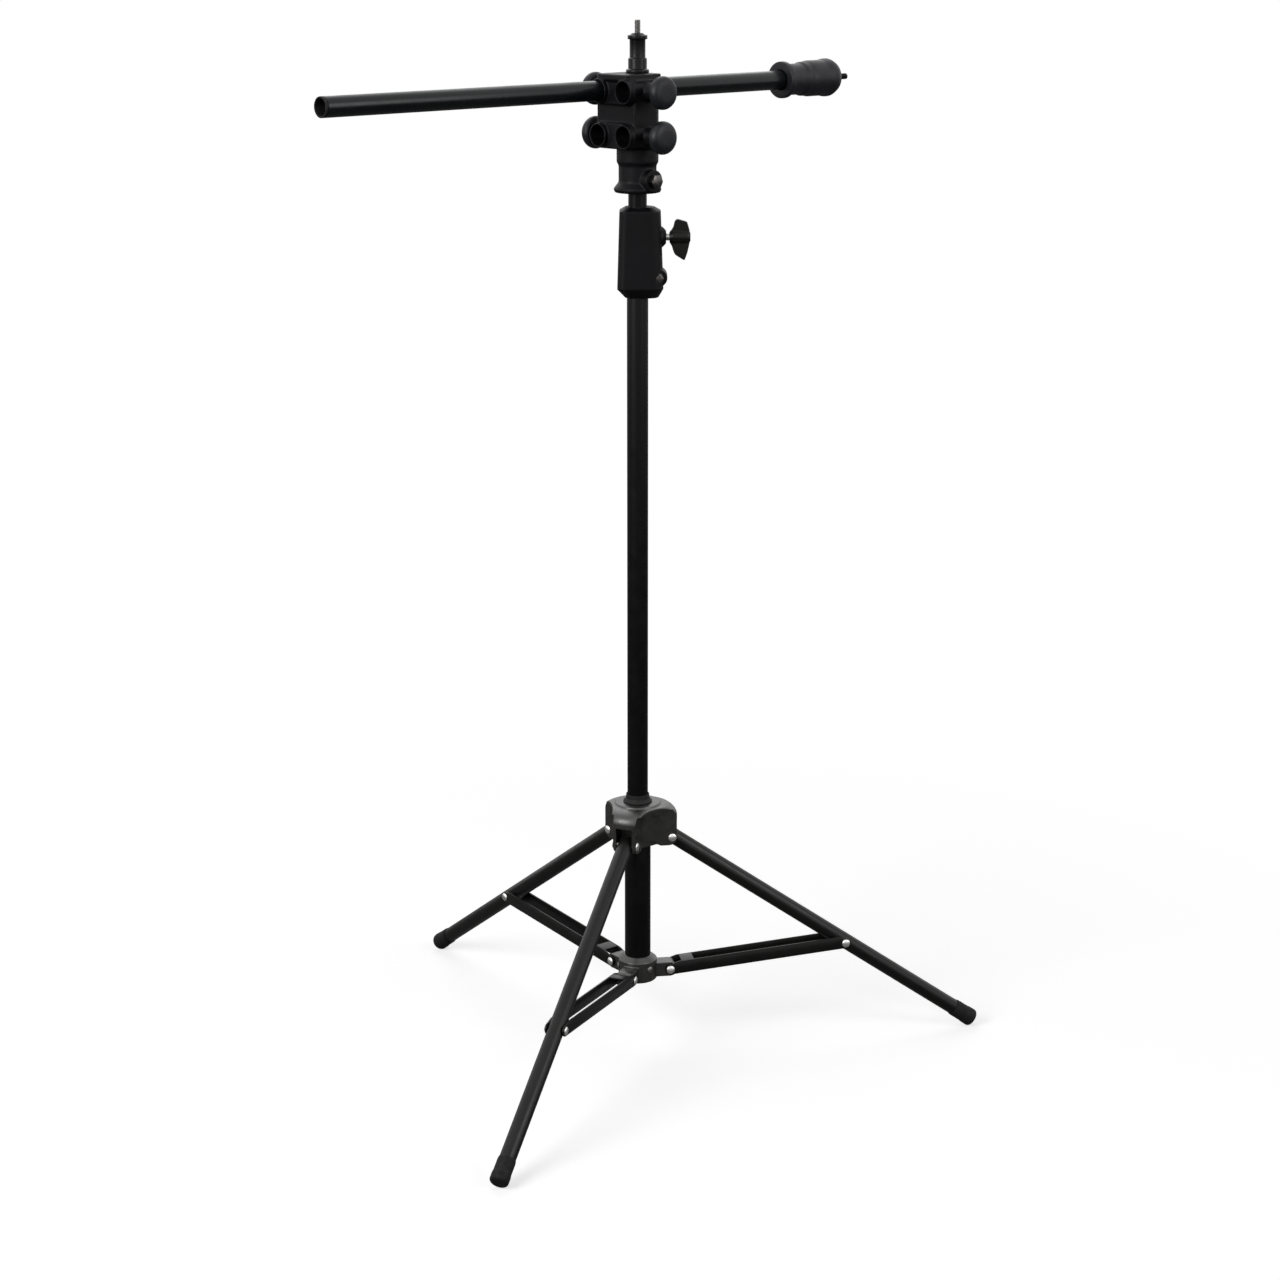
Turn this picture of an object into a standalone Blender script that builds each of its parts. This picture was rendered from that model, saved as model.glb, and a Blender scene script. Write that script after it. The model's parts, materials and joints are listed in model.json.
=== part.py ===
"""A folding light stand with a grip head and a cross boom, at rest on its three feet.

Metres, +Z up, +X along the boom towards its end fitting. The stand is built round the column's
axis at x = y = 0 and standing on z = 0, and is then shifted so that the middle of its footprint
is the origin.
"""

import math

import bmesh
import bpy
from mathutils import Matrix, Vector

# Clearances
GAP = 0.0003
SLIDE_GAP = 0.0004

# Edges, overlaps of joined solids, and how far a cutter reaches past what it cuts
FINE_CHAMFER = 0.0008
CHAMFER = 0.001
WIDE_CHAMFER = 0.0015
OVERLAP = 0.001
CUT_MARGIN = 0.01
CROSS_CUT = 0.03
RIVET_DOME = ((0.55, 0.85), (0.9, 0.45))

# Tubes
TUBE_WALL = 0.0012
COLUMN_RADIUS = 0.011
SLEEVE_RADIUS = 0.014
TOP_TUBE_RADIUS = 0.0095
LEG_RADIUS = 0.0085
BOOM_RADIUS = 0.010
ROUND_SIDES = 24
LEG_SIDES = 20
SMALL_SIDES = 12
HOLE_SIDES = 12
CROWN_SIDES = 48
BOSS_SIDES = 20
HEX_SIDES = 6

# Legs
LEG_COUNT = 3
FIRST_LEG_AZIMUTH = math.radians(-33.5)
LEG_ANGLE = math.radians(55.45)
LEG_REACH = 0.418
LEG_TOP = 0.006
CROWN_PIVOT_RADIUS = 0.0358
PLUG_DEPTH = 0.016
PLUG_DOME = 0.004
FOOT_WALL = 0.0018
FOOT_LENGTH = 0.027
FOOT_FILLET = 0.004

# Rivets
RIVET_RADIUS = 0.003
RIVET_HEAD_RADIUS = 0.0052
RIVET_HEAD_HEIGHT = 0.0018
FOLD_GAP = 0.0004

# Braces
BRACE_JOINT = 0.237
BRACE_RISE = math.radians(5.5)
BAR_HEIGHT = 0.0116
BAR_THICKNESS = 0.0017
WEB_START = 0.013
WEB_END = 0.027
WEB_THICKNESS = 0.002

# Spreader hub
HUB_PIVOT_RADIUS = 0.0349
HUB_RADIUS = 0.021
HUB_ABOVE_PIVOT = 0.0175
HUB_BELOW_PIVOT = 0.0105
HUB_SHOULDER = 0.005
HUB_LUG_RADIUS = 0.008
HUB_RIVET_ABOVE_PIVOT = 0.0045
HUB_RIVET_RADIUS = 0.0022
HUB_RIVET_HEAD_RADIUS = 0.0036
HUB_RIVET_HEAD_HEIGHT = 0.0016
HUB_RIVET_HOLE_MARGIN = 0.003

# Leg crown
CHEEK_THICKNESS = 0.004
CROWN_RADIUS = 0.0425
CROWN_ABOVE_PIVOT = 0.0392
CROWN_BELOW_PIVOT = 0.0088
CROWN_FOOT_FILLET = 0.008
CROWN_STEP_RADIUS = 0.025
CROWN_STEP_DROP = 0.002
CROWN_DOME_DROP = 0.0155
CROWN_CAP_DEPTH = 0.007
CROWN_CAP_ARC = 0.087
CROWN_WALL_ARC = 0.026
LOBE_OVERRUN = 1.2
CROWN_ARCH_RADIUS = 0.018
CROWN_ARCH_RISE = 0.0065
SLOT_START = 0.0245
SLOT_ROOF = 0.0195
BUSH_WALL = 0.0022
BUSH_DEPTH = 0.030
BUSH_FLANGE_RADIUS = 0.0155
BUSH_TOP_RADIUS = 0.0124
BUSH_HEIGHT = 0.009
BUSH_FLARE_HEIGHT = 0.0045
BUSH_FLANGE_HEIGHT = 0.0012
ARCH_START_GAP = 0.0025
LEG_PIN_HOLE_REACH = 0.02

# Column and its lock collar
COLUMN_LENGTH = 0.795
COLUMN_BELOW_HUB = 0.001
PLUG_FLANGE = 0.0025
PLUG_LEAD = 0.002
COLLAR_YAW = math.radians(-42.5)
COLLAR_HEIGHT = 0.0925
COLLAR_GRIP = 0.047
COLLAR_TOP_LEFT = 0.0185
COLLAR_TOP_RIGHT = 0.0237
COLLAR_FOOT_LEFT = 0.0208
COLLAR_FOOT_RIGHT = 0.0265
COLLAR_TOP_DEPTH = 0.0185
COLLAR_FOOT_DEPTH = 0.0205
COLLAR_CHAMFER = 0.005
COLLAR_SHOULDER = 0.004
COLLAR_SHOULDER_INSET = 0.0064
COLLAR_FOOT_RISE = 0.0095
COLLAR_FOOT_INSET = 0.0082
COLLAR_CLAMP_INSET = 0.005
COLLAR_SPLIT = 0.002
COLLAR_SPLIT_HEIGHT = 0.040
LUG_OFFSET = 0.0215
LUG_RADIUS = 0.009
LUG_LENGTH = 0.026
LUG_HEIGHT = 0.021
CLAMP_POCKET_MARGIN = 0.002
CLAMP_BOLT_RADIUS = 0.0025
CLAMP_NUT_RADIUS = 0.0055
CLAMP_NUT_THICKNESS = 0.004
COLLAR_BUSH_DEPTH = 0.024
COLLAR_BUSH_WALL = 0.0025
COLLAR_TUBE_BORE_START = 0.01
CLAMP_BOLT_TIP = 0.0015

# Wing knob
WING_BELOW_TOP = 0.031
WING_BOSS_RADIUS = 0.0115
WING_BOSS_TIP_RADIUS = 0.0065
WING_BOSS_END = 0.0292
WING_SCREW_RADIUS = 0.004
WING_START = 0.0325
WING_LENGTH = 0.0215
WING_UPPER_BLADE = 0.0185
WING_LOWER_BLADE = 0.024
WING_THICKNESS = 0.006
WING_HUB_RADIUS = 0.0065
WING_LOWER_EDGE = (
    (0.0, -0.22), (0.11, -0.36), (0.17, -0.56), (0.26, -0.74), (0.72, -1.0), (0.85, -0.68),
    (0.95, -0.3),
)
WING_UPPER_EDGE = (
    (1.0, 0.0), (0.96, 0.38), (0.84, 0.84), (0.37, 1.0), (0.25, 0.9), (0.2, 0.6), (0.12, 0.42),
    (0.0, 0.28),
)
PAD_RADIUS = 0.0035
PAD_THICKNESS = 0.0022
WING_BOSS_EMBED = 0.004
WING_BOSS_SLOPE = 0.0025
WING_HOLE_EMBED = 0.002
WING_HOLE_END = 0.04
WING_SCREW_REACH = 0.012
WING_HUB_CHAMFER = 0.003

# Top tube and head
TOP_TUBE_INSERT = 0.540
HEAD_STANDOFF = 0.0143
HEAD_SOCKET = 0.040
NECK_RADIUS = 0.0213
NECK_WAIST_RADIUS = 0.0193
NECK_STEP_HEIGHT = 0.0305
NECK_FLARE_HEIGHT = 0.0105
RIM_RADIUS = 0.0246
RIM_HEIGHT = 0.005
LOWER_BORE_HEIGHT = 0.058
BORE_PITCH = 0.044
BORE_OFFSET = 0.019
BORE_WALL = 0.0025
BLOCK_FRONT = -0.033
BLOCK_BACK = 0.014
BOSS_FACE = -0.038
BOSS_BACK = 0.018
BOSS_RING_RADIUS = 0.0122
WEB_FRONT = -0.030
WEB_BACK = 0.002
WEB_HALF_WIDTH = 0.029
TOP_PLATE_FRONT = -0.036
TOP_PLATE_BACK = 0.013
TOP_PLATE_HALF_WIDTH = 0.024
TOP_PLATE_THICKNESS = 0.0065
TOP_PLATE_ABOVE_BORE = 0.0105
TOP_PLATE_CORNER = 0.006
PLATE_OVERLAP = 0.002
WEB_CORNER = 0.003
HEAD_SCREW_HEIGHT = 0.0125
HEAD_SCREW_BOSS_RADIUS = 0.0115
HEAD_SCREW_BOSS_END = 0.0252
HEAD_SCREW_RADIUS = 0.004
HEAD_SCREW_HEX_RADIUS = 0.0075
HEAD_SCREW_HEX_HEIGHT = 0.005
HEAD_SCREW_BOSS_START = 0.003
HEAD_SCREW_HOLE_EMBED = 0.003
HEAD_SCREW_STICK_OUT = 0.002
NECK_STEP_DROP = 0.003

# Bore knobs
KNOB_X = -0.012
KNOB_BOSS_RADIUS = 0.008
KNOB_BOSS_END = 0.040
KNOB_START = 0.0455
KNOB_THICKNESS = 0.0125
KNOB_RADIUS = 0.0165
KNOB_FILLET = 0.0045
KNOB_FACE_WALL = 0.003
KNOB_BOSS_GAP = 0.002
KNOB_SCREW_RADIUS = 0.004
KNOB_HOLE_END = 0.05

# Spigot
SPIGOT_BASE_RADIUS = 0.0117
SPIGOT_STEP_RADIUS = 0.0095
SPIGOT_RADIUS = 0.008
SPIGOT_FLANGE_RADIUS = 0.010
SPIGOT_TIP_RADIUS = 0.0055
SPIGOT_BASE_HEIGHT = 0.003
SPIGOT_STEP_START = 0.004
SPIGOT_STEP_END = 0.014
SPIGOT_NECK_START = 0.015
SPIGOT_FLANGE_HEIGHT = 0.033
SPIGOT_FLANGE_THICKNESS = 0.004
SPIGOT_TIP_HEIGHT = 0.006
SPIGOT_SOCKET_DEPTH = 0.008
SPIGOT_STEM_RADIUS = 0.004
SPIGOT_STEM_DEPTH = 0.012
STUD_RADIUS = 0.003175
STUD_LENGTH = 0.013

# Boom and its end fitting
BOOM_NEAR = -0.3765
BOOM_FAR = 0.253
BOOM_PLUG_FLANGE = 0.003
BOOM_PLUG_DEPTH = 0.012
FITTING_START = 0.223
FITTING_LENGTH = 0.080
FITTING_FLANGE_RADIUS = 0.0193
FITTING_FLANGE_THICKNESS = 0.006
FITTING_WAIST_RADIUS = 0.0164
FITTING_WAIST_END = 0.027
FITTING_STEP_RADIUS = 0.018
FITTING_STEP_END = 0.036
FITTING_BODY_RADIUS = 0.019
FITTING_BODY_END = 0.060
FITTING_END_RADIUS = 0.0202
FITTING_END_FILLET = 0.009
FITTING_SCREW_RADIUS = 0.0025
FITTING_SCREW_OFFSET = 0.018
FITTING_CHAMFER = 0.003
FITTING_STEP_SLOPE = 0.004
FITTING_BODY_SLOPE = 0.006
FITTING_SCREW_SINK = 0.0005
FITTING_SCREW_EMBED = 0.002
END_STUD_LENGTH = 0.022
STUD_SOCKET_DEPTH = 0.012
STUD_TAPER = 0.005

# Local Z turned towards another axis
TO_X = (0.0, math.pi / 2, 0.0)
TO_Y = (-math.pi / 2, 0.0, 0.0)
TO_MINUS_Y = (math.pi / 2, 0.0, 0.0)

# Worked out from the sizes above
FOOT_RADIUS = LEG_RADIUS + GAP + FOOT_WALL
FOOT_ROUND_REACH = (LEG_REACH - FOOT_FILLET) * math.cos(LEG_ANGLE)
CROWN_PIVOT_HEIGHT = (
    FOOT_ROUND_REACH + (FOOT_RADIUS - FOOT_FILLET) * math.sin(LEG_ANGLE) + FOOT_FILLET
)
BRACE_END_RADIUS = CROWN_PIVOT_RADIUS + BRACE_JOINT * math.sin(LEG_ANGLE)
BRACE_END_HEIGHT = CROWN_PIVOT_HEIGHT - BRACE_JOINT * math.cos(LEG_ANGLE)
BRACE_LENGTH = (BRACE_END_RADIUS - HUB_PIVOT_RADIUS) / math.cos(BRACE_RISE)
HUB_PIVOT_HEIGHT = BRACE_END_HEIGHT - BRACE_LENGTH * math.sin(BRACE_RISE)
HUB_TOP = HUB_PIVOT_HEIGHT + HUB_ABOVE_PIVOT
HUB_BOTTOM = HUB_PIVOT_HEIGHT - HUB_BELOW_PIVOT
CROWN_BOTTOM = CROWN_PIVOT_HEIGHT - CROWN_BELOW_PIVOT
COLUMN_BOTTOM = HUB_BOTTOM - COLUMN_BELOW_HUB
COLUMN_TOP = COLUMN_BOTTOM + COLUMN_LENGTH
COLLAR_BOTTOM = COLUMN_TOP - COLLAR_GRIP
COLLAR_TOP = COLLAR_BOTTOM + COLLAR_HEIGHT
HEAD_BOTTOM = COLLAR_TOP + HEAD_STANDOFF
UPPER_BORE_HEIGHT = LOWER_BORE_HEIGHT + BORE_PITCH
PLATE_BOTTOM = UPPER_BORE_HEIGHT + TOP_PLATE_ABOVE_BORE
HEAD_TOP = PLATE_BOTTOM + TOP_PLATE_THICKNESS
BORE_RADIUS = BOOM_RADIUS + SLIDE_GAP
TUBE_BORE_RADIUS = TOP_TUBE_RADIUS + SLIDE_GAP
COLUMN_BORE_RADIUS = COLUMN_RADIUS + SLIDE_GAP
PIN_HOLE_RADIUS = RIVET_RADIUS + SLIDE_GAP
FORK_HALF_GAP = LEG_RADIUS + FOLD_GAP
LOBE_HALF_WIDTH = FORK_HALF_GAP + CHEEK_THICKNESS

parts = None
cutters = None


def clear_scene():
    """Empty the scene and make the two collections that the model uses."""
    global parts, cutters
    for old in list(bpy.data.objects):
        bpy.data.objects.remove(old)
    parts = bpy.data.collections.new("light_stand")
    cutters = bpy.data.collections.new("cutters")
    for collection in (parts, cutters):
        bpy.context.scene.collection.children.link(collection)


def make_material(name, colour, roughness, metallic=0.0):
    material = bpy.data.materials.new(name)
    material.use_nodes = True
    shader = material.node_tree.nodes["Principled BSDF"]
    shader.inputs["Base Color"].default_value = (*colour, 1.0)
    shader.inputs["Roughness"].default_value = roughness
    shader.inputs["Metallic"].default_value = metallic
    return material


def make_empty(name, parent=None, location=(0, 0, 0), rotation=(0, 0, 0)):
    empty = bpy.data.objects.new(name, None)
    parts.objects.link(empty)
    empty.parent = parent
    empty.location = location
    empty.rotation_euler = rotation
    return empty


def make_object(name, mesh, material=None, parent=None, location=(0, 0, 0), rotation=(0, 0, 0)):
    """Put a mesh in the scene. Without a material it is a tool for a Boolean."""
    obj = bpy.data.objects.new(name, mesh)
    obj.parent = parent
    obj.location = location
    obj.rotation_euler = rotation
    if material is None:
        cutters.objects.link(obj)
        obj.hide_render = True
        obj.display_type = "WIRE"
    else:
        parts.objects.link(obj)
        mesh.materials.append(material)
    return obj


def turn(obj, sides):
    """Turn the object's profile about its own Z."""
    screw = obj.modifiers.new("turn", "SCREW")
    screw.steps = sides
    screw.render_steps = sides
    screw.use_merge_vertices = True
    screw.merge_threshold = 0.00001
    return obj


def profile_mesh(name, points, ring):
    """Edges through (radius, height) points, which run down the outer side."""
    edges = [(i, i + 1) for i in range(len(points) - 1)]
    if ring:
        edges.append((len(points) - 1, 0))
    mesh = bpy.data.meshes.new(name)
    mesh.from_pydata([(radius, 0.0, height) for radius, height in points], edges, [])
    return mesh


def turned(name, points, sides=ROUND_SIDES, ring=False, **place):
    return turn(make_object(name, profile_mesh(name, points, ring), **place), sides)


def tube(name, outer, inner, bottom, top, sides=ROUND_SIDES, **place):
    points = [(outer, top), (outer, bottom), (inner, bottom), (inner, top)]
    return turned(name, points, sides, ring=True, **place)


def rod(name, radius, bottom, top, sides=HOLE_SIDES, **place):
    """A cylinder along its own Z from bottom to top."""
    form = bmesh.new()
    bmesh.ops.create_cone(
        form, cap_ends=True, segments=sides, radius1=radius, radius2=radius, depth=top - bottom
    )
    half_side = Matrix.Rotation(math.pi / sides, 3, "Z")
    bmesh.ops.rotate(form, verts=form.verts, matrix=half_side)
    bmesh.ops.translate(form, verts=form.verts, vec=(0, 0, (top + bottom) / 2))
    mesh = bpy.data.meshes.new(name)
    form.to_mesh(mesh)
    form.free()
    return make_object(name, mesh, **place)


def block(name, low, high, **place):
    """A box between two corners."""
    low, high = Vector(low), Vector(high)
    form = bmesh.new()
    bmesh.ops.create_cube(form, size=1.0)
    bmesh.ops.scale(form, verts=form.verts, vec=high - low)
    bmesh.ops.translate(form, verts=form.verts, vec=(low + high) / 2)
    mesh = bpy.data.meshes.new(name)
    form.to_mesh(mesh)
    form.free()
    return make_object(name, mesh, **place)


def prism(name, outline, bottom, top, **place):
    """A flat outline in X and Y, filled and extruded along its own Z."""
    curve = bpy.data.curves.new(name, "CURVE")
    curve.dimensions = "2D"
    curve.fill_mode = "BOTH"
    curve.extrude = (top - bottom) / 2
    spline = curve.splines.new("POLY")
    spline.points.add(len(outline) - 1)
    for point, (x, y) in zip(spline.points, outline):
        point.co = (x, y, 0.0, 1.0)
    spline.use_cyclic_u = True
    guide = bpy.data.objects.new(name, curve)
    cutters.objects.link(guide)
    graph = bpy.context.evaluated_depsgraph_get()
    mesh = bpy.data.meshes.new_from_object(guide.evaluated_get(graph))
    bpy.data.objects.remove(guide)
    form = bmesh.new()
    form.from_mesh(mesh)
    bmesh.ops.remove_doubles(form, verts=form.verts, dist=0.000001)
    bmesh.ops.translate(form, verts=form.verts, vec=(0, 0, (top + bottom) / 2))
    bmesh.ops.recalc_face_normals(form, faces=form.faces)
    form.to_mesh(mesh)
    form.free()
    mesh.name = name
    return make_object(name, mesh, **place)


def boolean(obj, tool, operation):
    modifier = obj.modifiers.new(tool.name, "BOOLEAN")
    modifier.operation = operation
    modifier.solver = "EXACT"
    modifier.object = tool


def cut(obj, *tools):
    for tool in tools:
        boolean(obj, tool, "DIFFERENCE")


def join(obj, *tools):
    for tool in tools:
        boolean(obj, tool, "UNION")


def shade(obj):
    """Smooth shading with sharp edges kept, as on machined and moulded rounds."""
    obj.data.shade_smooth()
    obj.data.set_sharp_from_angle(angle=math.radians(35))


def arc(centre, radius, start, end, steps):
    """Points on an arc in degrees, both ends included."""
    angles = [math.radians(start + (end - start) * i / steps) for i in range(steps + 1)]
    return [(centre[0] + radius * math.cos(a), centre[1] + radius * math.sin(a)) for a in angles]


def rounded_box(low, high, radius, steps=4):
    """The outline of a rectangle with round corners."""
    (x0, y0), (x1, y1) = low, high
    corners = ((x1, y1, 0), (x0, y1, 90), (x0, y0, 180), (x1, y0, 270))
    points = []
    for x, y, start in corners:
        centre = (x - radius if x == x1 else x + radius, y - radius if y == y1 else y + radius)
        points += arc(centre, radius, start, start + 90, steps)
    return points


def stadium(length, radius, steps=8):
    """Two round ends joined by straight sides, from the origin along X."""
    return arc((length, 0), radius, -90, 90, steps) + arc((0, 0), radius, 90, 270, steps)


def fillet_profile(radius, bottom, top, fillet, steps=3):
    """A disc's profile with both outer edges rounded."""
    upper = arc((radius - fillet, top - fillet), fillet, 90, 0, steps)
    lower = arc((radius - fillet, bottom + fillet), fillet, 0, -90, steps)
    return [(0.0, top), *upper, *lower, (0.0, bottom)]


def rivet(name, half_length, material, parent, location=(0, 0, 0)):
    """A rivet across Y: a shank, and a domed head outside each face at half_length."""
    head, tip = half_length + GAP, half_length + GAP + RIVET_HEAD_HEIGHT
    dome = [
        (0.0, tip),
        *((RIVET_HEAD_RADIUS * across, head + RIVET_HEAD_HEIGHT * up) for across, up in RIVET_DOME),
        (RIVET_HEAD_RADIUS, head),
        (RIVET_RADIUS, head),
    ]
    points = dome + [(radius, -height) for radius, height in reversed(dome)]
    obj = turned(
        name, points, SMALL_SIDES, material=material, parent=parent,
        location=location, rotation=TO_Y,
    )
    shade(obj)
    return obj


def leg_azimuth(index):
    return FIRST_LEG_AZIMUTH + index * 2 * math.pi / LEG_COUNT


def hinge_empty(name, index, radius, parent, height=0.0):
    """An empty on a leg's pivot: X points outwards and Y lies along the pivot."""
    azimuth = leg_azimuth(index)
    location = (radius * math.cos(azimuth), radius * math.sin(azimuth), height)
    return make_empty(name, parent, location, (0, 0, azimuth))


def build_column(stand, paint, plastic):
    """The lower tube, its plug, and the wider sleeve on which the open crown rests."""
    column = tube(
        "column_tube", COLUMN_RADIUS, COLUMN_RADIUS - TUBE_WALL, 0, COLUMN_LENGTH,
        material=paint, parent=stand, location=(0, 0, COLUMN_BOTTOM),
    )
    shade(column)
    inner = COLUMN_RADIUS - TUBE_WALL - GAP
    plug = turned(
        "bottom_plug",
        [
            (0, PLUG_DEPTH), (inner - CHAMFER, PLUG_DEPTH), (inner, PLUG_DEPTH - PLUG_LEAD),
            (inner, -GAP), (COLUMN_RADIUS, -GAP), (COLUMN_RADIUS, -PLUG_FLANGE + CHAMFER),
            (COLUMN_RADIUS - CHAMFER, -PLUG_FLANGE), (0, -PLUG_FLANGE),
        ],
        material=plastic, parent=stand, location=(0, 0, COLUMN_BOTTOM),
    )
    shade(plug)
    sleeve = tube(
        "base_sleeve", SLEEVE_RADIUS, COLUMN_RADIUS + GAP, HUB_TOP + GAP, CROWN_BOTTOM - GAP,
        material=paint, parent=stand,
    )
    shade(sleeve)
    return column


def build_hub(stand, column, plastic, steel):
    """A moulded ring with a lug for each brace, held on the column by three rivets."""
    bottom, top = -HUB_BELOW_PIVOT, HUB_ABOVE_PIVOT
    hub = turned(
        "spreader_hub",
        [
            (SLEEVE_RADIUS + CHAMFER, top), (HUB_RADIUS, top - HUB_SHOULDER),
            (HUB_RADIUS, bottom + WIDE_CHAMFER), (HUB_RADIUS - WIDE_CHAMFER, bottom),
            (COLUMN_RADIUS + GAP, bottom), (COLUMN_RADIUS + GAP, top),
        ],
        ring=True, material=plastic, parent=stand, location=(0, 0, HUB_PIVOT_HEIGHT),
    )
    half = FORK_HALF_GAP - FOLD_GAP
    lug_start = (COLUMN_RADIUS + HUB_RADIUS) / 2
    outline = [
        (x + HUB_PIVOT_RADIUS, y) for x, y in arc((0, 0), HUB_LUG_RADIUS, -90, 90, 8)
    ] + [(lug_start, HUB_LUG_RADIUS), (lug_start, -HUB_LUG_RADIUS)]
    for index in range(LEG_COUNT):
        azimuth = leg_azimuth(index)
        frame = make_empty(
            f"hub_lug_{index + 1}_frame", stand, (0, 0, HUB_PIVOT_HEIGHT), (0, 0, azimuth)
        )
        lug = prism(
            f"hub_lug_{index + 1}", outline, -half, half, parent=frame, rotation=TO_MINUS_Y
        )
        join(hub, lug)
        hole = rod(
            f"hub_pin_hole_{index + 1}", PIN_HOLE_RADIUS, -2 * half, 2 * half,
            parent=frame, location=(HUB_PIVOT_RADIUS, 0, 0), rotation=TO_Y,
        )
        cut(hub, hole)
    for index in range(LEG_COUNT):
        azimuth = leg_azimuth(index) + math.pi / LEG_COUNT
        height = HUB_PIVOT_HEIGHT + HUB_RIVET_ABOVE_PIVOT
        frame = make_empty(f"hub_rivet_{index + 1}_frame", stand, (0, 0, height), (0, 0, azimuth))
        start = COLUMN_RADIUS - TUBE_WALL / 2
        hole = rod(
            f"hub_rivet_hole_{index + 1}", HUB_RIVET_RADIUS + GAP, start - HUB_RIVET_HOLE_MARGIN,
            HUB_RADIUS + HUB_RIVET_HOLE_MARGIN, HOLE_SIDES, parent=frame, rotation=TO_X,
        )
        cut(hub, hole)
        cut(column, hole)
        seat = HUB_RADIUS + GAP
        tip = seat + HUB_RIVET_HEAD_HEIGHT
        small = turned(
            f"hub_rivet_{index + 1}",
            [
                (0, tip), (HUB_RIVET_HEAD_RADIUS * 0.6, tip - HUB_RIVET_HEAD_HEIGHT * 0.2),
                (HUB_RIVET_HEAD_RADIUS, seat), (HUB_RIVET_RADIUS, seat),
                (HUB_RIVET_RADIUS, start), (0, start),
            ],
            SMALL_SIDES, material=steel, parent=frame, rotation=TO_X,
        )
        shade(small)
    shade(hub)


def crown_outline(wall_arc, steps):
    """Three lobes, one to a leg, joined by walls that are hollow by the given arc."""
    half_step = math.pi / LEG_COUNT
    centre_radius = (wall_arc + LOBE_HALF_WIDTH) / math.sin(half_step)
    lobe_end = CROWN_RADIUS * LOBE_OVERRUN
    points = []
    for index in range(LEG_COUNT):
        azimuth = leg_azimuth(index)
        for side in (-1, 1):
            x, y = lobe_end, side * LOBE_HALF_WIDTH
            points.append((
                x * math.cos(azimuth) - y * math.sin(azimuth),
                x * math.sin(azimuth) + y * math.cos(azimuth),
            ))
        middle = azimuth + half_step
        centre = (centre_radius * math.cos(middle), centre_radius * math.sin(middle))
        start = math.degrees(middle) + 180 + (90 - math.degrees(half_step))
        end = math.degrees(middle) + 180 - (90 - math.degrees(half_step))
        points += arc(centre, wall_arc, start, end, steps)
    return points


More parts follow.
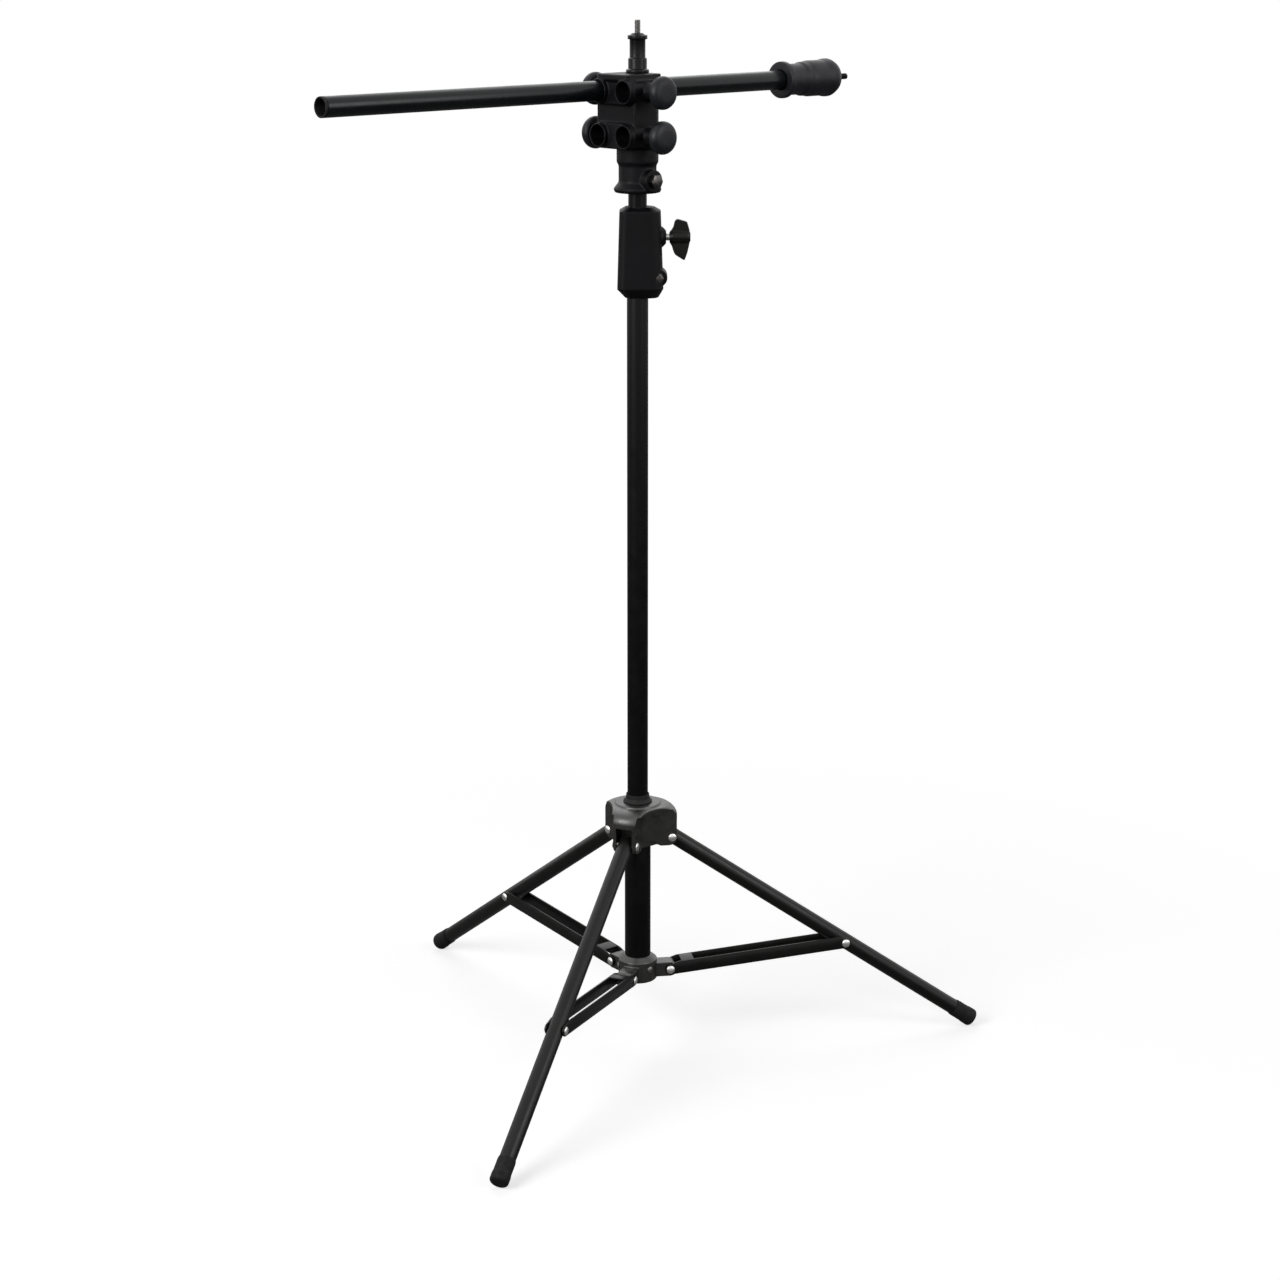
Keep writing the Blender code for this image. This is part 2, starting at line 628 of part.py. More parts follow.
def build_crown(stand, plastic, bush_plastic, steel):
    """The moulded crown with three clevises, its bush, and the rivets that carry the legs."""
    crown_frame = make_empty("crown_slide", stand, (0, 0, CROWN_PIVOT_HEIGHT))
    bottom, top = -CROWN_BELOW_PIVOT, CROWN_ABOVE_PIVOT
    crown = prism(
        "leg_crown", crown_outline(CROWN_WALL_ARC, 6), bottom, top, material=plastic,
        parent=crown_frame,
    )
    cap = prism(
        "crown_cap", crown_outline(CROWN_CAP_ARC, 4), top - CROWN_CAP_DEPTH, top + GAP,
        parent=crown_frame,
    )
    join(crown, cap)
    inner_fillet = CROWN_RADIUS - CROWN_FOOT_FILLET
    dome_foot = top - CROWN_DOME_DROP
    dome_width = CROWN_RADIUS - CROWN_STEP_RADIUS
    dome_height = CROWN_DOME_DROP - CROWN_STEP_DROP
    dome = [
        (CROWN_STEP_RADIUS + dome_width * across, dome_foot + dome_height * up)
        for across, up in arc((0, 0), 1.0, 90, 0, 4)
    ]
    blank = turned(
        "crown_blank",
        [
            (0, top), (CROWN_STEP_RADIUS - CROWN_STEP_DROP / 2, top), *dome,
            *arc((inner_fillet, bottom + CROWN_FOOT_FILLET), CROWN_FOOT_FILLET, 0, -90, 4),
            (0, bottom),
        ],
        CROWN_SIDES, parent=crown_frame,
    )
    boolean(crown, blank, "INTERSECT")
    bush_radius = COLUMN_BORE_RADIUS + BUSH_WALL
    cut(
        crown,
        rod("crown_bore", COLUMN_BORE_RADIUS, bottom - CUT_MARGIN, top + CUT_MARGIN, ROUND_SIDES,
            parent=crown_frame),
        rod("bush_bore", bush_radius + GAP, top - BUSH_DEPTH - GAP, top + CUT_MARGIN, ROUND_SIDES,
            parent=crown_frame),
    )
    for index in range(LEG_COUNT):
        pivot = hinge_empty(f"crown_pivot_{index + 1}", index, CROWN_PIVOT_RADIUS, crown_frame)
        slot = block(
            f"crown_slot_{index + 1}",
            (SLOT_START - CROWN_PIVOT_RADIUS, -FORK_HALF_GAP, bottom - CUT_MARGIN),
            (CROWN_RADIUS, FORK_HALF_GAP, SLOT_ROOF),
            parent=pivot,
        )
        hole = rod(
            f"crown_pin_hole_{index + 1}", PIN_HOLE_RADIUS, -2 * LOBE_HALF_WIDTH,
            2 * LOBE_HALF_WIDTH, parent=pivot, rotation=TO_Y,
        )
        arch_frame = make_empty(
            f"crown_arch_{index + 1}_frame", crown_frame, (0, 0, 0),
            (0, 0, leg_azimuth(index) + math.pi / LEG_COUNT),
        )
        arch = rod(
            f"crown_arch_{index + 1}", CROWN_ARCH_RADIUS, SLEEVE_RADIUS + ARCH_START_GAP,
            CROWN_RADIUS + CUT_MARGIN, ROUND_SIDES, parent=arch_frame,
            location=(0, 0, bottom + CROWN_ARCH_RISE - CROWN_ARCH_RADIUS), rotation=TO_X,
        )
        cut(crown, slot, hole, arch)
        rivet(f"crown_pin_{index + 1}", LOBE_HALF_WIDTH, steel, pivot)
    shade(crown)
    bush = turned(
        "crown_bush",
        [
            (BUSH_TOP_RADIUS, top + BUSH_HEIGHT),
            (BUSH_TOP_RADIUS + GAP, top + BUSH_FLARE_HEIGHT),
            (BUSH_FLANGE_RADIUS, top + BUSH_FLANGE_HEIGHT),
            (BUSH_FLANGE_RADIUS, top + GAP), (bush_radius, top + GAP),
            (bush_radius, top - BUSH_DEPTH), (COLUMN_BORE_RADIUS, top - BUSH_DEPTH),
            (COLUMN_BORE_RADIUS, top + BUSH_HEIGHT),
        ],
        ring=True, material=bush_plastic, parent=crown_frame,
    )
    shade(bush)
    return crown_frame


def build_legs(crown_frame, paint, plastic, rubber):
    """Each leg is a tube with a rounded plug in its top end and a rubber foot on the other."""
    tube_end = -(LEG_REACH - FOOT_WALL - GAP)
    plug_radius = LEG_RADIUS - TUBE_WALL - GAP
    for index in range(LEG_COUNT):
        number = index + 1
        pivot = hinge_empty(f"leg_hinge_{number}", index, CROWN_PIVOT_RADIUS, crown_frame)
        tilt = make_empty(f"leg_tilt_{number}", pivot, (0, 0, 0), (0, -LEG_ANGLE, 0))
        hole = rod(
            f"leg_pin_hole_{number}", PIN_HOLE_RADIUS, -LEG_PIN_HOLE_REACH, LEG_PIN_HOLE_REACH,
            parent=tilt, rotation=TO_Y
        )
        leg = tube(
            f"leg_tube_{number}", LEG_RADIUS, LEG_RADIUS - TUBE_WALL, tube_end, LEG_TOP,
            LEG_SIDES, material=paint, parent=tilt,
        )
        cap = turned(
            f"leg_top_plug_{number}",
            [
                (0, LEG_TOP + PLUG_DOME), (LEG_RADIUS * 0.5, LEG_TOP + PLUG_DOME * 0.85),
                (LEG_RADIUS * 0.85, LEG_TOP + PLUG_DOME * 0.5), (LEG_RADIUS, LEG_TOP + GAP),
                (plug_radius, LEG_TOP + GAP), (plug_radius, LEG_TOP - PLUG_DEPTH),
                (0, LEG_TOP - PLUG_DEPTH),
            ],
            LEG_SIDES, material=plastic, parent=tilt,
        )
        cut(leg, hole)
        cut(cap, hole)
        foot_top = -(LEG_REACH - FOOT_LENGTH)
        inner = LEG_RADIUS + GAP
        foot = turned(
            f"leg_foot_{number}",
            [
                (0, -(LEG_REACH - FOOT_WALL)), (inner, -(LEG_REACH - FOOT_WALL)),
                (inner, foot_top), (FOOT_RADIUS - FINE_CHAMFER, foot_top),
                (FOOT_RADIUS, foot_top - FINE_CHAMFER),
                *arc(
                    (FOOT_RADIUS - FOOT_FILLET, -(LEG_REACH - FOOT_FILLET)),
                    FOOT_FILLET, 0, -90, 4,
                ),
                (0, -LEG_REACH),
            ],
            LEG_SIDES, material=rubber, parent=tilt,
        )
        for obj in (leg, cap, foot):
            shade(obj)


def build_braces(stand, paint, steel):
    """Each brace is a stamped fork: two bars beside the leg, bridged by a web near the hub."""
    outer = FORK_HALF_GAP + BAR_THICKNESS
    half = BAR_HEIGHT / 2
    for index in range(LEG_COUNT):
        number = index + 1
        pivot = hinge_empty(
            f"brace_hinge_{number}", index, HUB_PIVOT_RADIUS, stand, HUB_PIVOT_HEIGHT
        )
        rise = make_empty(f"brace_rise_{number}", pivot, (0, 0, 0), (0, -BRACE_RISE, 0))
        brace = prism(
            f"brace_{number}", stadium(BRACE_LENGTH, half), -outer, outer,
            material=paint, parent=rise, rotation=TO_MINUS_Y,
        )
        reach = BRACE_LENGTH + BAR_HEIGHT
        inner_slot = block(
            f"brace_slot_{number}", (WEB_END, -FORK_HALF_GAP, -BAR_HEIGHT),
            (reach, FORK_HALF_GAP, BAR_HEIGHT), parent=rise,
        )
        hub_slot = block(
            f"brace_hub_slot_{number}", (-BAR_HEIGHT, -FORK_HALF_GAP, -BAR_HEIGHT),
            (WEB_START, FORK_HALF_GAP, BAR_HEIGHT), parent=rise,
        )
        under_web = block(
            f"brace_channel_{number}", (WEB_START / 2, -FORK_HALF_GAP, -BAR_HEIGHT),
            (WEB_END + WEB_START, FORK_HALF_GAP, half - WEB_THICKNESS), parent=rise,
        )
        holes = [
            rod(
                f"brace_hole_{number}_{place}", PIN_HOLE_RADIUS, -2 * outer, 2 * outer,
                parent=rise, location=(x, 0, 0), rotation=TO_Y,
            )
            for place, x in (("hub", 0.0), ("leg", BRACE_LENGTH))
        ]
        cut(brace, inner_slot, hub_slot, under_web, *holes)
        shade(brace)
        rivet(f"hub_pin_{number}", outer, steel, pivot)
        leg_rivets(number, rise, outer, steel)


def leg_rivets(number, rise, outer, steel):
    """A rivet head with its stub on each side of the leg, seated in the fork's two bars."""
    stub = FORK_HALF_GAP
    head, tip = outer + GAP, outer + GAP + RIVET_HEAD_HEIGHT
    for side, rotation in (("left", TO_Y), ("right", TO_MINUS_Y)):
        obj = turned(
            f"leg_rivet_{number}_{side}",
            [
                (0, tip),
                *((RIVET_HEAD_RADIUS * across, head + RIVET_HEAD_HEIGHT * up)
                  for across, up in RIVET_DOME),
                (RIVET_HEAD_RADIUS, head), (RIVET_RADIUS, head), (RIVET_RADIUS, stub), (0, stub),
            ],
            SMALL_SIDES, material=steel, parent=rise, location=(BRACE_LENGTH, 0, 0),
            rotation=rotation,
        )
        shade(obj)


def collar_section(left, right, depth, height):
    """One level of the collar: a box with cut corners, rounder on the clamp side."""
    cut_left, cut_right = COLLAR_CHAMFER, 2 * COLLAR_CHAMFER
    middle = 0.3 * cut_right
    half = [
        (-left, depth - cut_left), (-left + cut_left, depth), (right - cut_right, depth),
        (right - middle, depth - middle), (right, depth - cut_right),
    ]
    return [(x, -y, height) for x, y in half] + [(x, y, height) for x, y in reversed(half)]


def loft(name, levels, **place):
    """Skin between sections with equal numbers of points, from the bottom level up."""
    form = bmesh.new()
    rings = [[form.verts.new(point) for point in level] for level in levels]
    form.faces.new(list(reversed(rings[0])))
    form.faces.new(rings[-1])
    for lower, upper in zip(rings, rings[1:]):
        for i in range(len(lower)):
            j = (i + 1) % len(lower)
            form.faces.new((lower[i], lower[j], upper[j], upper[i]))
    mesh = bpy.data.meshes.new(name)
    form.to_mesh(mesh)
    form.free()
    return make_object(name, mesh, **place)


def build_collar(stand, plastic, bush_plastic, steel):
    """The moulded lock collar, clamped on the column by a bolt, with its wing screw."""
    frame = make_empty("collar_frame", stand, (0, 0, COLLAR_BOTTOM), (0, 0, COLLAR_YAW))
    inset = COLLAR_SHOULDER_INSET
    levels = [
        collar_section(COLLAR_FOOT_LEFT - COLLAR_FOOT_INSET, COLLAR_FOOT_RIGHT - COLLAR_CLAMP_INSET,
                       COLLAR_FOOT_DEPTH - COLLAR_FOOT_INSET, 0.0),
        collar_section(COLLAR_FOOT_LEFT, COLLAR_FOOT_RIGHT, COLLAR_FOOT_DEPTH, COLLAR_FOOT_RISE),
        collar_section(COLLAR_TOP_LEFT, COLLAR_TOP_RIGHT, COLLAR_TOP_DEPTH,
                       COLLAR_HEIGHT - COLLAR_SHOULDER),
        collar_section(COLLAR_TOP_LEFT - inset, COLLAR_TOP_RIGHT - inset,
                       COLLAR_TOP_DEPTH - inset, COLLAR_HEIGHT),
    ]
    collar = loft("lock_collar", levels, material=plastic, parent=frame)
    lug = rod(
        "collar_lug", LUG_RADIUS, -LUG_LENGTH / 2, LUG_LENGTH / 2, 24, parent=frame,
        location=(LUG_OFFSET, 0, LUG_HEIGHT), rotation=TO_Y,
    )
    wing_height = COLLAR_HEIGHT - WING_BELOW_TOP
    boss = turned(
        "wing_boss",
        [
            (0, WING_BOSS_END), (WING_BOSS_TIP_RADIUS, WING_BOSS_END),
            (WING_BOSS_RADIUS * 0.85, COLLAR_TOP_RIGHT + WING_BOSS_SLOPE),
            (WING_BOSS_RADIUS, COLLAR_TOP_RIGHT - CHAMFER),
            (WING_BOSS_RADIUS, COLUMN_RADIUS + WING_BOSS_EMBED), (0, COLUMN_RADIUS + WING_BOSS_EMBED),
        ],
        ROUND_SIDES, parent=frame, location=(0, 0, wing_height), rotation=TO_X,
    )
    join(collar, lug, boss)
    bush_radius = TUBE_BORE_RADIUS + COLLAR_BUSH_WALL
    nut_span = LUG_LENGTH / 2
    cut(
        collar,
        rod("collar_column_bore", COLUMN_RADIUS + GAP, -CUT_MARGIN, COLLAR_GRIP + GAP, ROUND_SIDES,
            parent=frame),
        rod("collar_tube_bore", TUBE_BORE_RADIUS, COLLAR_TUBE_BORE_START, COLLAR_HEIGHT + CUT_MARGIN,
            ROUND_SIDES, parent=frame),
        rod("collar_bush_bore", bush_radius + GAP, COLLAR_HEIGHT - COLLAR_BUSH_DEPTH - GAP,
            COLLAR_HEIGHT + CUT_MARGIN, ROUND_SIDES, parent=frame),
        block("collar_split", (COLUMN_RADIUS, -COLLAR_SPLIT / 2, -CUT_MARGIN),
              (LUG_OFFSET + 2 * LUG_RADIUS, COLLAR_SPLIT / 2, COLLAR_SPLIT_HEIGHT), parent=frame),
        rod("clamp_bolt_hole", CLAMP_BOLT_RADIUS + GAP, -CROSS_CUT, CROSS_CUT, parent=frame,
            location=(LUG_OFFSET, 0, LUG_HEIGHT), rotation=TO_Y),
        rod("clamp_nut_pocket", CLAMP_NUT_RADIUS + CLAMP_POCKET_MARGIN, nut_span, CROSS_CUT,
            HEX_SIDES, parent=frame, location=(LUG_OFFSET, 0, LUG_HEIGHT), rotation=TO_Y),
        rod("clamp_head_pocket", CLAMP_NUT_RADIUS + CLAMP_POCKET_MARGIN, nut_span, CROSS_CUT,
            HEX_SIDES, parent=frame, location=(LUG_OFFSET, 0, LUG_HEIGHT), rotation=TO_MINUS_Y),
        rod("wing_screw_hole", WING_SCREW_RADIUS + SLIDE_GAP,
            TOP_TUBE_RADIUS - WING_HOLE_EMBED, WING_HOLE_END,
            parent=frame, location=(0, 0, wing_height), rotation=TO_X),
    )
    shade(collar)
    bush = tube(
        "collar_bush", bush_radius, TUBE_BORE_RADIUS, COLLAR_HEIGHT - COLLAR_BUSH_DEPTH,
        COLLAR_HEIGHT, material=bush_plastic, parent=frame,
    )
    shade(bush)
    build_clamp_bolt(frame, nut_span, steel)
    build_wing(frame, wing_height, plastic, bush_plastic, steel)


def build_clamp_bolt(frame, seat, steel):
    """The collar's hex-headed clamp bolt, from the front ear through to its nut."""
    end = seat + GAP + CLAMP_NUT_THICKNESS
    place = {"material": steel, "parent": frame, "location": (LUG_OFFSET, 0, LUG_HEIGHT)}
    bolt = rod(
        "clamp_bolt", CLAMP_BOLT_RADIUS, -(seat + GAP + OVERLAP), end + CLAMP_BOLT_TIP, rotation=TO_Y,
        **place,
    )
    head = rod(
        "clamp_bolt_head", CLAMP_NUT_RADIUS, seat + GAP, seat + GAP + CLAMP_NUT_THICKNESS, HEX_SIDES,
        parent=frame, location=(LUG_OFFSET, 0, LUG_HEIGHT), rotation=TO_MINUS_Y,
    )
    join(bolt, head)
    nut = rod("clamp_nut", CLAMP_NUT_RADIUS, seat + GAP, end, HEX_SIDES, rotation=TO_Y, **place)
    cut(nut, rod(
        "clamp_nut_bore", CLAMP_BOLT_RADIUS + GAP, seat - CUT_MARGIN, end + CUT_MARGIN,
        parent=frame, location=(LUG_OFFSET, 0, LUG_HEIGHT), rotation=TO_Y,
    ))
    shade(bolt)


def build_wing(frame, height, plastic, pad_plastic, steel):
    """The wing knob, moulded on a steel screw that presses a pad against the top tube."""
    pad_start = TOP_TUBE_RADIUS + SLIDE_GAP
    pad_end = pad_start + PAD_THICKNESS
    place = {"parent": frame, "location": (0, 0, height), "rotation": TO_X}
    rod("brake_pad", PAD_RADIUS, pad_start, pad_end, material=pad_plastic, **place)
    screw_end = WING_START + WING_SCREW_REACH
    screw = rod(
        "wing_screw", WING_SCREW_RADIUS, pad_end + GAP, screw_end, material=steel, **place
    )
    shade(screw)
    knob_frame = make_empty("wing_turn", frame, (0, 0, height))
    start, end = WING_START, WING_START + WING_LENGTH
    outline = [
        (start + along * WING_LENGTH, out * WING_LOWER_BLADE) for along, out in WING_LOWER_EDGE
    ] + [
        (start + along * WING_LENGTH, out * WING_UPPER_BLADE) for along, out in WING_UPPER_EDGE
    ]
    wing = prism(
        "wing_knob", outline, -WING_THICKNESS / 2, WING_THICKNESS / 2, material=plastic,
        parent=knob_frame, rotation=TO_MINUS_Y,
    )
    hub = turned(
        "wing_hub",
        [
            (0, end), (WING_HUB_RADIUS * 0.8, end), (WING_HUB_RADIUS, end - WING_HUB_CHAMFER),
            (WING_HUB_RADIUS, start + WING_HUB_CHAMFER), (WING_HUB_RADIUS * 0.8, start), (0, start),
        ],
        ROUND_SIDES, parent=knob_frame, rotation=TO_X,
    )
    socket = rod(
        "wing_socket", WING_SCREW_RADIUS + GAP, start - CUT_MARGIN, screw_end + GAP,
        parent=knob_frame, rotation=TO_X,
    )
    join(wing, hub)
    cut(wing, socket)
    shade(wing)


def build_head(stand, paint, plastic, steel):
    """The top tube and the grip head on it, with four bores, their knobs and the spigot."""
    top_section = make_empty("top_section", stand, (0, 0, HEAD_BOTTOM))
    top_tube = tube(
        "top_tube", TOP_TUBE_RADIUS, TOP_TUBE_RADIUS - TUBE_WALL, -TOP_TUBE_INSERT,
        HEAD_SOCKET - GAP, material=paint, parent=top_section,
    )
    shade(top_tube)
    head_frame = make_empty("head_turn", top_section)
    head = turned(
        "head_body",
        [
            (0, PLATE_BOTTOM + OVERLAP), (NECK_RADIUS, PLATE_BOTTOM + OVERLAP),
            (NECK_RADIUS, NECK_STEP_HEIGHT), (NECK_WAIST_RADIUS, NECK_STEP_HEIGHT - NECK_STEP_DROP),
            (NECK_WAIST_RADIUS, NECK_FLARE_HEIGHT), (RIM_RADIUS - CHAMFER, RIM_HEIGHT),
            (RIM_RADIUS, RIM_HEIGHT - WIDE_CHAMFER), (RIM_RADIUS - WIDE_CHAMFER, 0.0), (0, 0.0),
        ],
        material=plastic, parent=head_frame,
    )
    half_block = BORE_OFFSET + BORE_RADIUS + BORE_WALL
    wall_radius = BORE_RADIUS + BORE_WALL
    section = rounded_box((-half_block, -wall_radius), (half_block, wall_radius), wall_radius * 0.98)
    for name, height in (("lower", LOWER_BORE_HEIGHT), ("upper", UPPER_BORE_HEIGHT)):
        join(head, prism(
            f"{name}_block", [(y, x) for x, y in section], BLOCK_FRONT, BLOCK_BACK,
            parent=head_frame, location=(0, 0, height), rotation=TO_X,
        ))
    web = rounded_box(
        (WEB_FRONT, -WEB_HALF_WIDTH), (WEB_BACK, WEB_HALF_WIDTH), WEB_CORNER, 3
    )
    plate = rounded_box(
        (TOP_PLATE_FRONT, -TOP_PLATE_HALF_WIDTH), (TOP_PLATE_BACK, TOP_PLATE_HALF_WIDTH),
        TOP_PLATE_CORNER,
    )
    join(
        head,
        prism("head_web", web, LOWER_BORE_HEIGHT, PLATE_BOTTOM + PLATE_OVERLAP, parent=head_frame),
        prism("head_plate", plate, PLATE_BOTTOM, HEAD_TOP, parent=head_frame),
    )
    bores = [
        (side, name, height)
        for name, height in (("upper", UPPER_BORE_HEIGHT), ("lower", LOWER_BORE_HEIGHT))
        for side in (1, -1)
    ]
    knobs = []
    for side, name, height in bores:
        hand = "left" if side > 0 else "right"
        join(head, turned(
            f"{name}_{hand}_boss",
            [
                (0, BOSS_BACK), (BOSS_RING_RADIUS, BOSS_BACK),
                (BOSS_RING_RADIUS, BOSS_FACE + CHAMFER), (BOSS_RING_RADIUS - CHAMFER, BOSS_FACE),
                (0, BOSS_FACE),
            ],
            ROUND_SIDES, parent=head_frame, location=(0, side * BORE_OFFSET, height),
            rotation=TO_X,
        ))
        rotation = TO_Y if side > 0 else TO_MINUS_Y
        join(head, rod(
            f"{name}_{hand}_knob_boss", KNOB_BOSS_RADIUS, BORE_OFFSET, KNOB_BOSS_END, BOSS_SIDES,
            parent=head_frame, location=(KNOB_X, 0, height), rotation=rotation,
        ))
        knobs.append((f"{name}_{hand}", height, rotation))
    join(head, rod(
        "head_screw_boss", HEAD_SCREW_BOSS_RADIUS, TUBE_BORE_RADIUS + HEAD_SCREW_BOSS_START,
        HEAD_SCREW_BOSS_END, ROUND_SIDES, parent=head_frame, location=(0, 0, HEAD_SCREW_HEIGHT),
        rotation=TO_MINUS_Y,
    ))
    for side, name, height in bores:
        hand = "left" if side > 0 else "right"
        cut(head, rod(
            f"{name}_{hand}_bore", BORE_RADIUS, BOSS_FACE - CUT_MARGIN, BOSS_BACK + CUT_MARGIN, ROUND_SIDES,
            parent=head_frame, location=(0, side * BORE_OFFSET, height), rotation=TO_X,
        ))
    screw_start = BORE_OFFSET + BORE_RADIUS + GAP
    for name, height, rotation in knobs:
        cut(head, rod(
            f"{name}_screw_hole", KNOB_SCREW_RADIUS + SLIDE_GAP, BORE_OFFSET, KNOB_HOLE_END,
            parent=head_frame, location=(KNOB_X, 0, height), rotation=rotation,
        ))
        build_bore_knob(name, head_frame, height, rotation, screw_start, plastic, steel)
    cut(
        head,
        rod("head_socket", TUBE_BORE_RADIUS, -CUT_MARGIN, HEAD_SOCKET, ROUND_SIDES, parent=head_frame),
        rod("head_screw_hole", HEAD_SCREW_RADIUS + GAP,
            TOP_TUBE_RADIUS - HEAD_SCREW_HOLE_EMBED, CROSS_CUT, parent=head_frame,
            location=(0, 0, HEAD_SCREW_HEIGHT), rotation=TO_MINUS_Y),
        rod("spigot_hole", SPIGOT_STEM_RADIUS + GAP, HEAD_TOP - SPIGOT_STEM_DEPTH - GAP,
            HEAD_TOP + CUT_MARGIN, parent=head_frame),
    )
    shade(head)
    head_screw = rod(
        "head_screw", HEAD_SCREW_RADIUS, TUBE_BORE_RADIUS,
        HEAD_SCREW_BOSS_END + HEAD_SCREW_STICK_OUT,
        material=steel, parent=head_frame, location=(0, 0, HEAD_SCREW_HEIGHT),
        rotation=TO_MINUS_Y,
    )
    hex_start = HEAD_SCREW_BOSS_END + GAP
    join(head_screw, rod(
        "head_screw_hex", HEAD_SCREW_HEX_RADIUS, hex_start, hex_start + HEAD_SCREW_HEX_HEIGHT, 6,
        parent=head_frame, location=(0, 0, HEAD_SCREW_HEIGHT), rotation=TO_MINUS_Y,
    ))
    shade(head_screw)
    build_spigot(head_frame, steel)
    return head_frame


def build_bore_knob(name, head_frame, height, rotation, screw_start, plastic, steel):
    """A round knob moulded on a steel screw that grips whatever is in the bore."""
    turn_frame = make_empty(f"{name}_knob_turn", head_frame, (KNOB_X, 0, height), rotation)
    socket_end = KNOB_START + KNOB_THICKNESS - KNOB_FACE_WALL
    knob = turned(
        f"{name}_knob",
        fillet_profile(KNOB_RADIUS, KNOB_START, KNOB_START + KNOB_THICKNESS, KNOB_FILLET),
        ROUND_SIDES, material=plastic, parent=turn_frame,
    )
    collar = rod(
        f"{name}_knob_collar", KNOB_BOSS_RADIUS, KNOB_BOSS_END + KNOB_BOSS_GAP,
        KNOB_START + OVERLAP, BOSS_SIDES, parent=turn_frame,
    )
    join(knob, collar)
    cut(knob, rod(
        f"{name}_knob_socket", KNOB_SCREW_RADIUS + GAP, KNOB_BOSS_END, socket_end + GAP,
        parent=turn_frame,
    ))
    shade(knob)
    screw = rod(
        f"{name}_screw", KNOB_SCREW_RADIUS, screw_start, socket_end, material=steel,
        parent=turn_frame,
    )
    shade(screw)


def build_spigot(head_frame, steel):
    """The turned 16 mm spigot on the head, with a quarter-inch stud in its top."""
    base = HEAD_TOP + GAP
    flange = base + SPIGOT_FLANGE_HEIGHT
    socket = flange - SPIGOT_SOCKET_DEPTH
    tip, collar = flange + SPIGOT_TIP_HEIGHT, flange + SPIGOT_FLANGE_THICKNESS
    spigot = turned(
        "spigot",
        [
            (STUD_RADIUS + GAP, tip), (SPIGOT_TIP_RADIUS, tip),
            (SPIGOT_RADIUS, collar), (SPIGOT_FLANGE_RADIUS, collar),
            (SPIGOT_FLANGE_RADIUS, flange), (SPIGOT_RADIUS, flange),
            (SPIGOT_RADIUS, base + SPIGOT_NECK_START), (SPIGOT_STEP_RADIUS, base + SPIGOT_STEP_END),
            (SPIGOT_STEP_RADIUS, base + SPIGOT_STEP_START),
            (SPIGOT_BASE_RADIUS, base + SPIGOT_BASE_HEIGHT), (SPIGOT_BASE_RADIUS, base),
            (SPIGOT_STEM_RADIUS, base), (SPIGOT_STEM_RADIUS, HEAD_TOP - SPIGOT_STEM_DEPTH),
            (0, HEAD_TOP - SPIGOT_STEM_DEPTH), (0, socket), (STUD_RADIUS + GAP, socket),
        ],
        ring=True, material=steel, parent=head_frame,
    )
    shade(spigot)
    stud_base = socket + GAP
    stud_top = tip + STUD_LENGTH
    stud = turned(
        "spigot_stud",
        [
            (0, stud_top), (STUD_RADIUS - FINE_CHAMFER, stud_top),
            (STUD_RADIUS, stud_top - FINE_CHAMFER),
            (STUD_RADIUS, stud_base), (0, stud_base),
        ],
        SMALL_SIDES, material=steel, parent=head_frame,
    )
    shade(stud)


def build_boom(head_frame, paint, plastic, steel):
    """The boom tube in the upper left bore, its end plug and the fitting on its far end."""
    boom_frame = make_empty(
        "boom_slide", head_frame, (0, BORE_OFFSET, UPPER_BORE_HEIGHT), TO_X
    )
    boom = tube(
        "boom_tube", BOOM_RADIUS, BOOM_RADIUS - TUBE_WALL, BOOM_NEAR, BOOM_FAR,
        material=paint, parent=boom_frame,
    )
    shade(boom)
    inner = BOOM_RADIUS - TUBE_WALL - GAP
    plug = turned(
        "boom_end_plug",
        [
            (0, BOOM_NEAR + BOOM_PLUG_DEPTH), (inner, BOOM_NEAR + BOOM_PLUG_DEPTH),
            (inner, BOOM_NEAR - GAP), (BOOM_RADIUS, BOOM_NEAR - GAP),
            (BOOM_RADIUS, BOOM_NEAR - BOOM_PLUG_FLANGE + CHAMFER),
            (BOOM_RADIUS - CHAMFER, BOOM_NEAR - BOOM_PLUG_FLANGE),
            (0, BOOM_NEAR - BOOM_PLUG_FLANGE),
        ],
        material=plastic, parent=boom_frame,
    )
    shade(plug)
    build_end_fitting(boom_frame, plastic, steel)


